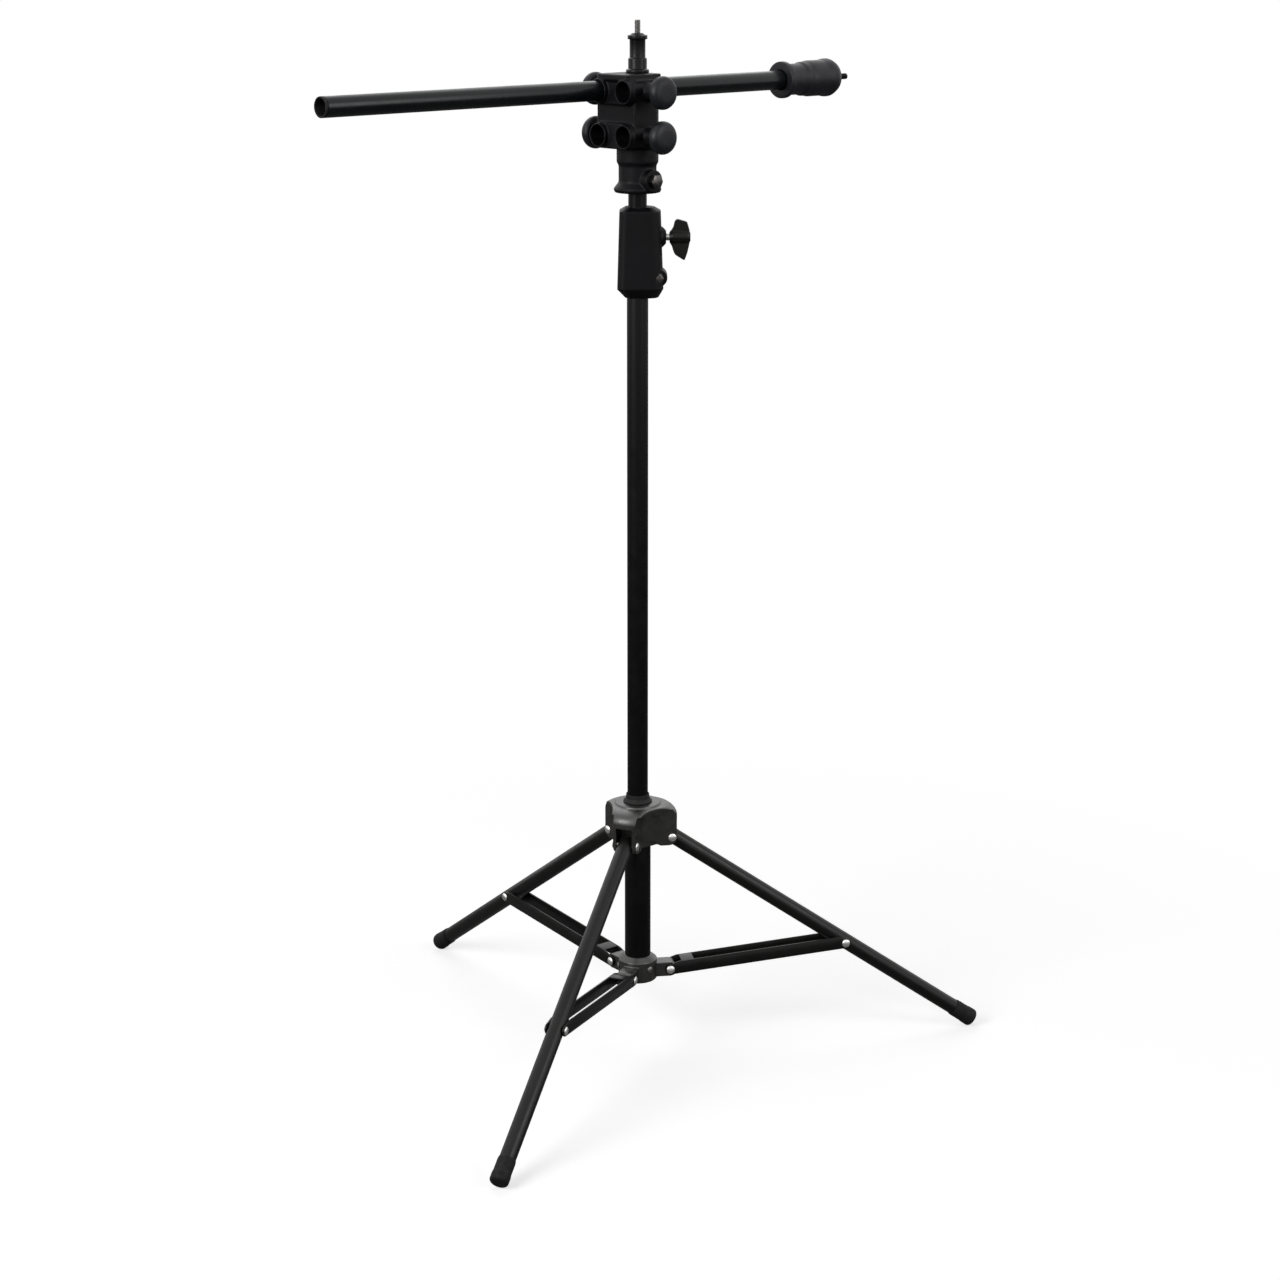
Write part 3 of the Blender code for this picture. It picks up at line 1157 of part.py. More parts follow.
def build_end_fitting(boom_frame, plastic, steel):
    """The moulded fitting on the boom's end: a flange, a waist and a rounded body."""
    start, end = FITTING_START, FITTING_START + FITTING_LENGTH
    bore = BOOM_RADIUS + SLIDE_GAP
    socket_end = BOOM_FAR + GAP
    waist, body = FITTING_WAIST_RADIUS, FITTING_BODY_RADIUS
    stud_bore = STUD_RADIUS + GAP
    stud_socket = end - STUD_SOCKET_DEPTH
    fillet_middle = (FITTING_END_RADIUS - FITTING_END_FILLET, end - FITTING_END_FILLET)
    fitting = turned(
        "end_fitting",
        [
            (stud_bore, end), *arc(fillet_middle, FITTING_END_FILLET, 90, 0, 5),
            (FITTING_END_RADIUS, start + FITTING_BODY_END + FITTING_BODY_SLOPE),
            (body, start + FITTING_BODY_END),
            (body, start + FITTING_STEP_END + FITTING_STEP_SLOPE),
            (FITTING_STEP_RADIUS, start + FITTING_STEP_END),
            (FITTING_STEP_RADIUS, start + FITTING_WAIST_END + FITTING_CHAMFER),
            (waist, start + FITTING_WAIST_END),
            (waist, start + FITTING_FLANGE_THICKNESS + FITTING_CHAMFER),
            (FITTING_FLANGE_RADIUS, start + FITTING_FLANGE_THICKNESS),
            (FITTING_FLANGE_RADIUS, start + CHAMFER), (FITTING_FLANGE_RADIUS - CHAMFER, start),
            (bore, start), (bore, socket_end), (0, socket_end), (0, stud_socket),
            (stud_bore, stud_socket),
        ],
        ring=True, material=plastic, parent=boom_frame,
    )
    screw_at = (0, 0, start + FITTING_SCREW_OFFSET)
    cut(fitting, rod(
        "fitting_screw_hole", FITTING_SCREW_RADIUS + GAP, BOOM_RADIUS - FITTING_SCREW_EMBED, CROSS_CUT,
        HOLE_SIDES, parent=boom_frame, location=screw_at, rotation=TO_Y,
    ))
    shade(fitting)
    screw = rod(
        "fitting_screw", FITTING_SCREW_RADIUS, BOOM_RADIUS + SLIDE_GAP,
        waist - FITTING_SCREW_SINK, SMALL_SIDES,
        material=steel, parent=boom_frame, location=screw_at, rotation=TO_Y,
    )
    shade(screw)
    stud_end = end + END_STUD_LENGTH
    stud = turned(
        "end_stud",
        [
            (0, stud_end), (STUD_RADIUS * 0.55, stud_end), (STUD_RADIUS, stud_end - STUD_TAPER),
            (STUD_RADIUS, stud_socket + GAP), (0, stud_socket + GAP),
        ],
        SMALL_SIDES, material=steel, parent=boom_frame,
    )
    shade(stud)


def centre_on_footprint(stand):
    """Shift the whole stand so that the middle of its footprint is the origin."""
    bpy.context.view_layer.update()
    graph = bpy.context.evaluated_depsgraph_get()
    corners = []
    for obj in parts.objects:
        if obj.type != "MESH":
            continue
        evaluated = obj.evaluated_get(graph)
        mesh = evaluated.to_mesh()
        corners += [obj.matrix_world @ vertex.co for vertex in mesh.vertices]
        evaluated.to_mesh_clear()
    for axis in (0, 1):
        low = min(corner[axis] for corner in corners)
        high = max(corner[axis] for corner in corners)
        stand.location[axis] = -(low + high) / 2
    stand.location[2] = -min(corner[2] for corner in corners)


def main():
    clear_scene()
    black_paint = make_material("black_paint", (0.012, 0.012, 0.013), 0.35)
    head_plastic = make_material("head_plastic", (0.018, 0.017, 0.020), 0.45)
    crown_plastic = make_material("crown_plastic", (0.02, 0.02, 0.02), 0.3)
    bush_plastic = make_material("bush_plastic", (0.01, 0.01, 0.01), 0.6)
    foot_rubber = make_material("foot_rubber", (0.012, 0.012, 0.012), 0.85)
    bright_steel = make_material("bright_steel", (0.72, 0.72, 0.72), 0.2, 1.0)
    stand = make_empty("light_stand_frame")
    column = build_column(stand, black_paint, bush_plastic)
    build_hub(stand, column, crown_plastic, bright_steel)
    crown_frame = build_crown(stand, crown_plastic, bush_plastic, bright_steel)
    build_legs(crown_frame, black_paint, bush_plastic, foot_rubber)
    build_braces(stand, black_paint, bright_steel)
    build_collar(stand, head_plastic, bush_plastic, bright_steel)
    head_frame = build_head(stand, black_paint, head_plastic, bright_steel)
    build_boom(head_frame, black_paint, bush_plastic, bright_steel)
    centre_on_footprint(stand)


main()
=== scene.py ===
import json
import math

import bmesh
import bpy
from mathutils import Matrix, Vector


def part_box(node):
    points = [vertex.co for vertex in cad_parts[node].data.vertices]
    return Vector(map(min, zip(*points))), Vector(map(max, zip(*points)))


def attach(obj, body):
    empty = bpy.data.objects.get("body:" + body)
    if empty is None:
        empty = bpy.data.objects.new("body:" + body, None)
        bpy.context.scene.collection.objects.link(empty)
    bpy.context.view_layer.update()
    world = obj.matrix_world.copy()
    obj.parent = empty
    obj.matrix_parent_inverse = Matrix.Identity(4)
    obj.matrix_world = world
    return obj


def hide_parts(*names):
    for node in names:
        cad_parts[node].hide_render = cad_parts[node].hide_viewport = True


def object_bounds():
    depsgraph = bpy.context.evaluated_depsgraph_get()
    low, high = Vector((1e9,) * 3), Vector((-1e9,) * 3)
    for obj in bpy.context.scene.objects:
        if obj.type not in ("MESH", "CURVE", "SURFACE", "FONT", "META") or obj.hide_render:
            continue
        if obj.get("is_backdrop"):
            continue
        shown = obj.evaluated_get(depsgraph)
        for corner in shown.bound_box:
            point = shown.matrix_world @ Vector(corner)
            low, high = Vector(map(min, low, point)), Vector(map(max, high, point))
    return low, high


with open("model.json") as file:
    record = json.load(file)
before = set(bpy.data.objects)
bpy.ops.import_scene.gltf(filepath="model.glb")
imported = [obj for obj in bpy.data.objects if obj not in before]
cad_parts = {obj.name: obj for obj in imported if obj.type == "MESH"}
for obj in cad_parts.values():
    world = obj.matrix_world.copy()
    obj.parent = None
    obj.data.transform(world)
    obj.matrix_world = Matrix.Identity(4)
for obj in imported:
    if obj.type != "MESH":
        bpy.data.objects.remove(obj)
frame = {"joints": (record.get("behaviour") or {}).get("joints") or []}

cad_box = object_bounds()


# The lower column tube is drawn steel, 22 mm across, baked in satin black enamel.
# It is the axis that the rest is built on, so its place is read from the frame first.
MM = 0.001
UP = (0, 0, 1)
column_low, column_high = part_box("column_tube")
AXIS = Vector(((column_low.x + column_high.x) / 2, (column_low.y + column_high.y) / 2, 0.0))
COLUMN_RADIUS = 11.0
TUBE_WALL, TUBE_EDGE = 1.2, 0.35
# Pieces that meet leave a seam, and what turns or slides in a bore has some play.
SEAM, PLAY = 0.3, 0.4
# The sides of round forms, from the widest to the smallest.
ROUND_SIDES, LEG_SIDES, BOSS_SIDES, SOCKET_SIDES, HEAD_SIDES, HOLE_SIDES = 96, 72, 64, 48, 40, 32
CORNER_SHARE = 0.45
ON_AXIS = 1e-6


def at(origin, up=UP, side=(0, 1, 0)):
    """The place of a piece: its own Z lies along up, and its own Y as near side as that leaves."""
    z = Vector(up).normalized()
    x = Vector(side).cross(z).normalized()
    y = z.cross(x)
    place = Matrix((x, y, z)).transposed().to_4x4()
    place.translation = Vector(origin)
    return place


def on_column(height):
    """A place on the column's axis, at a height in metres."""
    return at((AXIS.x, AXIS.y, height))


def in_scene(name, data):
    """A new object in the scene."""
    thing = bpy.data.objects.new(name, data)
    bpy.context.scene.collection.objects.link(thing)
    return thing


def in_mesh(name, form):
    """Turns a bmesh into an object."""
    mesh = bpy.data.meshes.new(name)
    form.to_mesh(mesh)
    form.free()
    return in_scene(name, mesh)


def new_piece(name, form, place):
    """Makes an object of a bmesh drawn in millimetres, with its place in its mesh."""
    bmesh.ops.recalc_face_normals(form, faces=form.faces)
    form.transform(place @ Matrix.Scale(MM, 4))
    return in_mesh(name, form)


def with_settings(thing, **settings):
    """Sets what a modifier, node, lamp or camera holds, and returns it."""
    for name, value in settings.items():
        setattr(thing, name, value)
    return thing


def smooth(piece, angle=40):
    piece.data.shade_smooth()
    piece.data.set_sharp_from_angle(angle=math.radians(angle))
    return piece


def softened(points, radius, closed=False, steps=3):
    """Rounds the corners of a profile, each no further than its shorter side allows."""
    rounded = []
    last = len(points) - 1
    for i, point in enumerate(points):
        corner = Vector(point)
        if not closed and i in (0, last):
            rounded.append(tuple(corner))
            continue
        before, after = Vector(points[i - 1]) - corner, Vector(points[(i + 1) % len(points)]) - corner
        reach = min(radius, CORNER_SHARE * before.length, CORNER_SHARE * after.length)
        start, end = corner + before.normalized() * reach, corner + after.normalized() * reach
        for step in range(steps + 1):
            t = step / steps
            rounded.append(tuple(start * (1 - t) ** 2 + corner * 2 * t * (1 - t) + end * t * t))
    return rounded


def turned(name, profile, place, sides=ROUND_SIDES, closed=False):
    """Spins (radius, height) points about the piece's own Z."""
    form = bmesh.new()
    rings = []
    for radius, height in profile:
        if radius < ON_AXIS:
            rings.append([form.verts.new((0, 0, height))])
            continue
        angles = (2 * math.pi * i / sides for i in range(sides))
        rings.append([form.verts.new((radius * math.cos(a), radius * math.sin(a), height)) for a in angles])
    pairs = list(zip(rings, rings[1:]))
    if closed:
        pairs.append((rings[-1], rings[0]))
    for upper, lower in pairs:
        for i in range(sides):
            spots = ((upper, i), (lower, i), (lower, i + 1), (upper, i + 1))
            # A ring on the axis is one point, so there its corners fall together.
            corners = list(dict.fromkeys(ring[k % len(ring)] for ring, k in spots))
            if len(corners) > 2:
                form.faces.new(corners)
    return smooth(new_piece(name, form, place))


def tube(name, outer, wall, bottom, top, place, sides=ROUND_SIDES):
    profile = [(outer, top), (outer, bottom), (outer - wall, bottom), (outer - wall, top)]
    return turned(name, softened(profile, TUBE_EDGE, closed=True), place, sides, closed=True)


def colour(text):
    """An sRGB hex colour as linear numbers."""
    values = (int(text[i:i + 2], 16) / 255 for i in (1, 3, 5))
    return (*(v / 12.92 if v <= 0.04045 else ((v + 0.055) / 1.055) ** 2.4 for v in values), 1.0)


def feed(tree, node, sockets):
    """Gives each of a node's sockets its value, or the socket that feeds it."""
    for name, value in sockets.items():
        if isinstance(value, bpy.types.NodeSocket):
            tree.links.new(value, node.inputs[name])
        else:
            node.inputs[name].default_value = value
    return node


def add_node(tree, kind, inputs=(), **settings):
    """Adds a node with its settings and what its sockets hold."""
    return feed(tree, with_settings(tree.nodes.new(kind), **settings), dict(inputs))


def noise(tree, size, detail=2.0, roughness=0.5):
    """Noise with blotches of about the given size in millimetres, on Object coordinates."""
    where = add_node(tree, "ShaderNodeTexCoord").outputs["Object"]
    inputs = {"Vector": where, "Scale": 1 / (size * MM), "Detail": detail, "Roughness": roughness}
    return add_node(tree, "ShaderNodeTexNoise", inputs).outputs["Fac"]


def spread(tree, source, low, high, start=0.3, end=0.7):
    """Stretches a noise to the range from low to high."""
    inputs = {"Value": source, "From Min": start, "From Max": end, "To Min": low, "To Max": high}
    return add_node(tree, "ShaderNodeMapRange", inputs).outputs["Result"]


def two_tone(tree, source, dark, light):
    """A colour between dark and light. The mix node's colour sockets are known by number."""
    inputs = {0: source, 6: colour(dark), 7: colour(light)}
    return add_node(tree, "ShaderNodeMix", inputs, data_type="RGBA").outputs[2]


def new_material(name):
    """A material with its tree and its Principled shader."""
    material = bpy.data.materials.new(name)
    material.use_nodes = True
    return material, material.node_tree, material.node_tree.nodes["Principled BSDF"]


def bump(tree, height, depth, under=None):
    """A bump whose full height is the given depth in millimetres."""
    inputs = {"Height": height, "Distance": depth * MM}
    if under is not None:
        inputs["Normal"] = under
    return add_node(tree, "ShaderNodeBump", inputs).outputs["Normal"]


def skin(name, dark, light, drift, rub, roughness, gloss, grain, depth, ior, tones=(0.0, 1.0), sink=0):
    """A two-toned finish. Drift, rub and grain are the noises of its colour, roughness and bump."""
    material, tree, shader = new_material(name)
    normal = bump(tree, noise(tree, *grain), depth)
    if sink:
        # Thick walls of a moulding sink a little as they cool.
        normal = bump(tree, noise(tree, 14.0, 1.0), sink, under=normal)
    feed(tree, shader, {
        "Base Color": two_tone(tree, spread(tree, noise(tree, *drift), *tones), dark, light),
        "Roughness": spread(tree, noise(tree, *rub), *roughness),
        "Specular IOR Level": gloss,
        "Normal": normal,
        "IOR": ior,
    })
    return material


def baked_enamel(name, dark, light, rough_low, rough_high, gloss):
    """Stoving enamel sprayed on drawn tube: satin, a little uneven, with a faint orange peel."""
    # The real orange peel is about 1 mm across, and is drawn three times as coarse so that it shows.
    drift, rub, peel, depth = (45.0, 3.0), (14.0, 2.0), (3.0, 1.0), 0.006
    return skin(name, dark, light, drift, rub, (rough_low, rough_high), gloss, peel, depth, 1.5)


def seat(piece, body, slot, material, *nodes):
    """Gives a piece its finish, and sets it on its body in place of its CAD nodes."""
    piece.data.materials.clear()
    piece.data.materials.append(material)
    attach(piece, body)
    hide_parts(*nodes)


tube_enamel = baked_enamel("baked_enamel_on_steel_tube", "#09090a", "#100f10", 0.3, 0.42, 0.17)
column_length = (column_high.z - column_low.z) / MM
column = tube("lower_column", COLUMN_RADIUS, TUBE_WALL, 0, column_length, on_column(column_low.z))
seat(column, "stand", "tube_paint", tube_enamel, "column_tube")


# A pressed-in plug of matte polypropylene closes the column's lower end.
# Only its thin flange shows under the hub. Handling has left a faint bloom on it.
black_polypropylene = skin(
    "moulded_black_polypropylene", "#090909", "#101010", (12.0, 4.0), (5.0, 3.0), (0.5, 0.68), 0.32,
    (1.6, 1.0), 0.02, 1.49,
)
plug_profile = [(0, 16), (8.5, 16), (9.5, 14), (9.5, -SEAM), (11, -SEAM), (11, -2.5), (0, -2.5)]
plug = turned("column_foot_plug", softened(plug_profile, 0.5), on_column(column_low.z))
seat(plug, "stand", "small_plastic", black_polypropylene, "bottom_plug")


# The base sleeve is a second, wider steel tube over the column, in the same enamel.
# It stands on the spreader hub, and the open crown comes to rest on its top edge.
sleeve_low, sleeve_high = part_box("base_sleeve")
SLEEVE_RADIUS = 14.0
sleeve = tube(
    "base_tube", SLEEVE_RADIUS, SLEEVE_RADIUS - COLUMN_RADIUS - SEAM, 0,
    (sleeve_high.z - sleeve_low.z) / MM, on_column(sleeve_low.z),
)
seat(sleeve, "stand", "tube_paint", tube_enamel, "base_sleeve")


# The spreader hub is one moulding of glass-filled nylon, a ring with three lugs for the braces.
# It is drawn from plain solids and then melted together, which gives a moulding's soft edges.
joints = {joint["name"]: joint for joint in frame["joints"]}


def pivot(joint):
    """A leg's or brace's pivot, the way out from the column, and the way along the pin."""
    point = Vector(joints[joint]["pos_m"])
    out = point - AXIS
    out.z = 0
    out.normalize()
    return point, out, Vector(UP).cross(out)


def arc(centre, radius, start, end, steps=12):
    """Points on an arc, in degrees, both ends included."""
    angles = (math.radians(start + (end - start) * i / steps) for i in range(steps + 1))
    return [(centre[0] + radius * math.cos(a), centre[1] + radius * math.sin(a)) for a in angles]


def loft(name, levels, place):
    """A skin over sections with equal numbers of points, from the lowest up."""
    form = bmesh.new()
    rings = [[form.verts.new(point) for point in level] for level in levels]
    form.faces.new(rings[0])
    form.faces.new(rings[-1])
    for lower, upper in zip(rings, rings[1:]):
        for i in range(len(lower)):
            j = (i + 1) % len(lower)
            form.faces.new((lower[i], lower[j], upper[j], upper[i]))
    return new_piece(name, form, place)


def prism(name, outline, bottom, top, place):
    return loft(name, [[(x, y, z) for x, y in outline] for z in (bottom, top)], place)


def rod(name, radius, bottom, top, place, sides=BOSS_SIDES):
    return turned(name, [(0, top), (radius, top), (radius, bottom), (0, bottom)], place, sides)


def bar(name, low, high, place):
    """A box between two corners."""
    (x0, y0, z0), (x1, y1, z1) = low, high
    return prism(name, [(x0, y0), (x1, y0), (x1, y1), (x0, y1)], z0, z1, place)


def settled(piece):
    """Applies a piece's modifiers and returns it with a plain mesh."""
    graph = bpy.context.evaluated_depsgraph_get()
    mesh = bpy.data.meshes.new_from_object(piece.evaluated_get(graph))
    piece.modifiers.clear()
    piece.data = mesh
    return piece


def moulded(name, solids, cuts, grain, passes=4, keep=None):
    """Joins and cuts plain solids, then melts their edges at the given grain in millimetres."""
    body = solids[0]
    steps = [(solid, "UNION") for solid in solids[1:]]
    if keep is not None:
        steps.append((keep, "INTERSECT"))
    steps += [(tool, "DIFFERENCE") for tool in cuts]
    for tool, operation in steps:
        with_settings(
            body.modifiers.new(tool.name, "BOOLEAN"), operation=operation, solver="MANIFOLD", object=tool
        )
    with_settings(body.modifiers.new("melt", "REMESH"), mode="VOXEL", voxel_size=grain * MM)
    with_settings(body.modifiers.new("relax", "SMOOTH"), factor=0.5, iterations=passes)
    settled(body)
    for tool, _ in steps:
        bpy.data.objects.remove(tool)
    body.name = name
    body.data.shade_smooth()
    return body


# The nylon is near black, with a soft sheen. Its grain is about 0.5 mm, drawn coarser so that it shows.
crown_nylon = skin(
    "moulded_glass_filled_nylon", "#1f1e1d", "#2a2927", (18.0, 4.0), (6.0, 4.0), (0.26, 0.4), 0.95,
    (1.8, 1.0), 0.015, 1.53, sink=0.1,
)
hub_low, hub_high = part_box("spreader_hub")
hub_pivot = joints["brace_1_fold"]["pos_m"][2]
hub_top, hub_bottom = (hub_high.z - hub_pivot) / MM, (hub_low.z - hub_pivot) / MM
HUB_RADIUS, HUB_NECK, HUB_SLOPE, HUB_EDGE = 21.0, 15.0, 5.0, 1.5
HUB_PIVOT_RADIUS = 34.9
HUB_GRAIN = 0.5
LUG_RADIUS, LUG_ROOT, LUG_CUT = 8.0, 19.5, 15.0
RELIEF_RADIUS, RELIEF_OUT, RELIEF_DEPTH = 4.0, 3.4, 7.0
FORK_HALF_GAP = 8.9
PIN_RADIUS = 3.0
pin_hole = PIN_RADIUS + PLAY
hub_bore = COLUMN_RADIUS + SEAM
lug_half = FORK_HALF_GAP - PLAY
hub_ring = turned("hub_ring", [
    (HUB_NECK, hub_top), (HUB_RADIUS, hub_top - HUB_SLOPE), (HUB_RADIUS, hub_bottom + HUB_EDGE),
    (HUB_RADIUS - HUB_EDGE, hub_bottom), (hub_bore, hub_bottom), (hub_bore, hub_top),
], on_column(hub_pivot), closed=True)
hub_solids, hub_cuts = [hub_ring], []
for k in (1, 2, 3):
    point, out, along = pivot(f"brace_{k}_fold")
    lug_outline = arc((0, 0), LUG_RADIUS, -90, 90) + [(-LUG_ROOT, LUG_RADIUS), (-LUG_ROOT, -LUG_RADIUS)]
    lug_place = at(point, -along, UP)
    hub_solids.append(prism(f"lug_{k}", lug_outline, -lug_half, lug_half, lug_place))
    hub_cuts.append(rod(f"lug_hole_{k}", pin_hole, -LUG_CUT, LUG_CUT, lug_place, HOLE_SIDES))
    # A relief cut in each bay between two lugs keeps the moulding's walls even.
    bay = (-out).normalized()
    bay_place = at(AXIS + Vector((0, 0, hub_pivot)) + bay * (HUB_RADIUS + RELIEF_OUT) * MM)
    hub_cuts.append(rod(
        f"bay_{k}", RELIEF_RADIUS, hub_bottom - 1, hub_bottom + RELIEF_DEPTH, bay_place, SOCKET_SIDES
    ))
hub = moulded("spreader_casting", hub_solids, hub_cuts, HUB_GRAIN)
seat(hub, "stand", "crown_plastic", crown_nylon, "spreader_hub")


# Nickel-plated steel rivets hold the hub on the column and carry the braces and the legs.
# Each is a cold-headed dome. A ring of them is set out by one node tree.
def plated(name, grain, dark, light, rough_low, rough_high):
    """Plating on steel, satin rather than bright, with the marks of heading or rolling in it."""
    material, tree, shader = new_material(name)
    marks = noise(tree, grain, 4.0, 0.6)
    feed(tree, shader, {
        "Base Color": two_tone(tree, spread(tree, marks, 0.0, 1.0), dark, light),
        "Metallic": 1.0,
        "Roughness": spread(tree, noise(tree, 3.0, 3.0), rough_low, rough_high),
        "Normal": bump(tree, marks, 0.01),
    })
    return material


bright_nickel = plated("nickel_plated_rivet_steel", 1.5, "#e4e2df", "#f7f6f4", 0.3, 0.44)
dull_zinc = plated("zinc_plated_rivet_steel", 2.0, "#716f6d", "#878582", 0.36, 0.48)


def worked(tree, operation, *values):
    """What a sum on values and sockets gives."""
    return add_node(tree, "ShaderNodeMath", dict(enumerate(values)), operation=operation).outputs[0]


def ring_tree():
    """Sets one pattern at equal angles round an axis, its own X pointing outwards."""
    tree = bpy.data.node_groups.new("ring_of_rivets", "GeometryNodeTree")
    tree.interface.new_socket("Geometry", in_out="OUTPUT", socket_type="NodeSocketGeometry")
    for label, kind in (
        ("Pattern", "NodeSocketObject"), ("Count", "NodeSocketInt"), ("Ring radius", "NodeSocketFloat"),
        ("First angle", "NodeSocketFloat"),
    ):
        tree.interface.new_socket(label, in_out="INPUT", socket_type=kind)
    sizes = add_node(tree, "NodeGroupInput").outputs
    index = add_node(tree, "GeometryNodeInputIndex").outputs["Index"]
    share = worked(tree, "DIVIDE", index, sizes["Count"])
    angle = worked(tree, "MULTIPLY_ADD", share, 2 * math.pi, sizes["First angle"])
    spot = add_node(tree, "ShaderNodeCombineXYZ", {
        "X": worked(tree, "MULTIPLY", worked(tree, "COSINE", angle), sizes["Ring radius"]),
        "Y": worked(tree, "MULTIPLY", worked(tree, "SINE", angle), sizes["Ring radius"]),
    }).outputs["Vector"]
    ring = add_node(tree, "GeometryNodePoints", {"Count": sizes["Count"], "Position": spot})
    pattern = add_node(tree, "GeometryNodeObjectInfo", {"Object": sizes["Pattern"]})
    turn = add_node(tree, "ShaderNodeCombineXYZ", {"Z": angle}).outputs["Vector"]
    copies = add_node(tree, "GeometryNodeInstanceOnPoints", {
        "Points": ring.outputs["Points"], "Instance": pattern.outputs["Geometry"], "Rotation": turn,
    })
    real = add_node(tree, "GeometryNodeRealizeInstances", {"Geometry": copies.outputs["Instances"]})
    add_node(tree, "NodeGroupOutput", {"Geometry": real.outputs["Geometry"]})
    return tree


rivet_ring = ring_tree()


def ring_of(name, pattern, count, radius, first_angle, place):
    """A plain mesh of the pattern set round the place's own Z. The radius is in millimetres."""
    piece = in_scene(name, bpy.data.meshes.new(name))
    modifier = with_settings(piece.modifiers.new("ring", "NODES"), node_group=rivet_ring)
    values = {"Pattern": pattern, "Count": count, "Ring radius": radius * MM, "First angle": first_angle}
    for item in rivet_ring.interface.items_tree:
        if item.in_out == "INPUT":
            modifier[item.identifier] = values[item.name]
    settled(piece)
    piece.data.transform(place)
    return piece


# A rivet head's curve, in shares of its radius and height, from its crown down to its seat.
DOME = ((0, 1), (0.3, 0.97), (0.55, 0.84), (0.78, 0.6), (0.93, 0.32), (1, 0.1), (0.985, 0))
HEAD_RADIUS, HEAD_HEIGHT = 4.5, 1.7
SMALL_RADIUS, SMALL_HEIGHT, SMALL_SHANK = 3.6, 1.6, 2.2
STRIP_THICKNESS = 1.7


def dome(radius, height, seat_height):
    return [(radius * x, seat_height + height * y) for x, y in DOME]


def headed_pin(name, shank, half, place):
    """A pin with a dome at each end, its seats at half on either side."""
    head = dome(HEAD_RADIUS, HEAD_HEIGHT, half + SEAM) + [(shank, half + SEAM)]
    profile = head + [(radius, -height) for radius, height in reversed(head)]
    return turned(name, profile, place, HEAD_SIDES)


FORK_OUTER = FORK_HALF_GAP + STRIP_THICKNESS
along_y = at((0, 0, 0), (0, 1, 0), UP)
along_x = at((0, 0, 0), (1, 0, 0))
_, first_out, _ = pivot("brace_1_fold")
FIRST_ANGLE = math.atan2(first_out.y, first_out.x)
hub_pin = headed_pin("pin_pattern", PIN_RADIUS, FORK_OUTER, along_y)
hub_pins = ring_of("hub_pins", hub_pin, 3, HUB_PIVOT_RADIUS, FIRST_ANGLE, on_column(hub_pivot))
seat(hub_pins, "stand", "bright_steel", bright_nickel, "hub_pin_1", "hub_pin_2", "hub_pin_3")
small_end = COLUMN_RADIUS - TUBE_WALL / 2
small_rivet = turned("rivet_pattern", dome(SMALL_RADIUS, SMALL_HEIGHT, HUB_RADIUS + SEAM) + [
    (SMALL_SHANK, HUB_RADIUS + SEAM), (SMALL_SHANK, small_end), (0, small_end),
], along_x, HOLE_SIDES)
rivet_low, rivet_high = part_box("hub_rivet_1")
rivet_place = on_column((rivet_low.z + rivet_high.z) / 2)
small_rivet.data.transform(Matrix.Translation((-HUB_RADIUS * MM, 0, 0)))
hub_rivets = ring_of("hub_rivets", small_rivet, 3, HUB_RADIUS, FIRST_ANGLE + math.pi / 3, rivet_place)
seat(hub_rivets, "stand", "bright_steel", dull_zinc, "hub_rivet_1", "hub_rivet_2", "hub_rivet_3")


# The leg crown is a larger moulding of the same nylon, with three clevises for the legs.
# A domed cap reaches over the three hollow bays between them, and each bay is arched below.
crown_low, crown_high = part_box("leg_crown")
crown_pivot = joints["leg_1_fold"]["pos_m"][2]
crown_top, crown_bottom = (crown_high.z - crown_pivot) / MM, (crown_low.z - crown_pivot) / MM
CROWN_RADIUS = 42.5
CROWN_PIVOT_RADIUS = 35.8
CHEEK = 4.0
LOBE_HALF = FORK_HALF_GAP + CHEEK
# The lobes are drawn a fifth too long, and the blank that is turned round them trims them.
LOBE_EXCESS = 1.2
WALL_ARC, CAP_ARC = 26.0, 87.0
CAP_DEPTH = 7.0
DOME_START, DOME_DROP, STEP_DROP = 25.0, 15.5, 2.0
CROWN_ROUND = 8.0
SLOT_START, SLOT_PAST, SLOT_ROOF = 24.5, 20.0, 19.5
ARCH_RADIUS, ARCH_RISE, ARCH_START, ARCH_END = 18.0, 6.5, 16.5, 60.0
PIN_CUT, CROWN_CUT = 25.0, 5.0
CROWN_GRAIN = 0.58
BUSH_RADIUS = 13.6
bush_top, bush_bottom = crown_top + 9.0, crown_top - 30.0
cut_top, cut_bottom = crown_top + CROWN_CUT, crown_bottom - CROWN_CUT
crown_place = on_column(crown_pivot)


def three_lobes(wall_arc):
    """The crown's outline: a lobe to each leg, joined by walls hollow by the given arc."""
    outline = []
    centre_out = (wall_arc + LOBE_HALF) / math.sin(math.pi / 3)
    for k in range(3):
        azimuth = FIRST_ANGLE + k * 2 * math.pi / 3
        for side in (-LOBE_HALF, LOBE_HALF):
            outline.append(tuple(Matrix.Rotation(azimuth, 2) @ Vector((CROWN_RADIUS * LOBE_EXCESS, side))))
        middle = azimuth + math.pi / 3
        facing = math.degrees(middle) + 180
        centre = (centre_out * math.cos(middle), centre_out * math.sin(middle))
        outline += arc(centre, wall_arc, facing + 30, facing - 30, steps=24)
    return outline


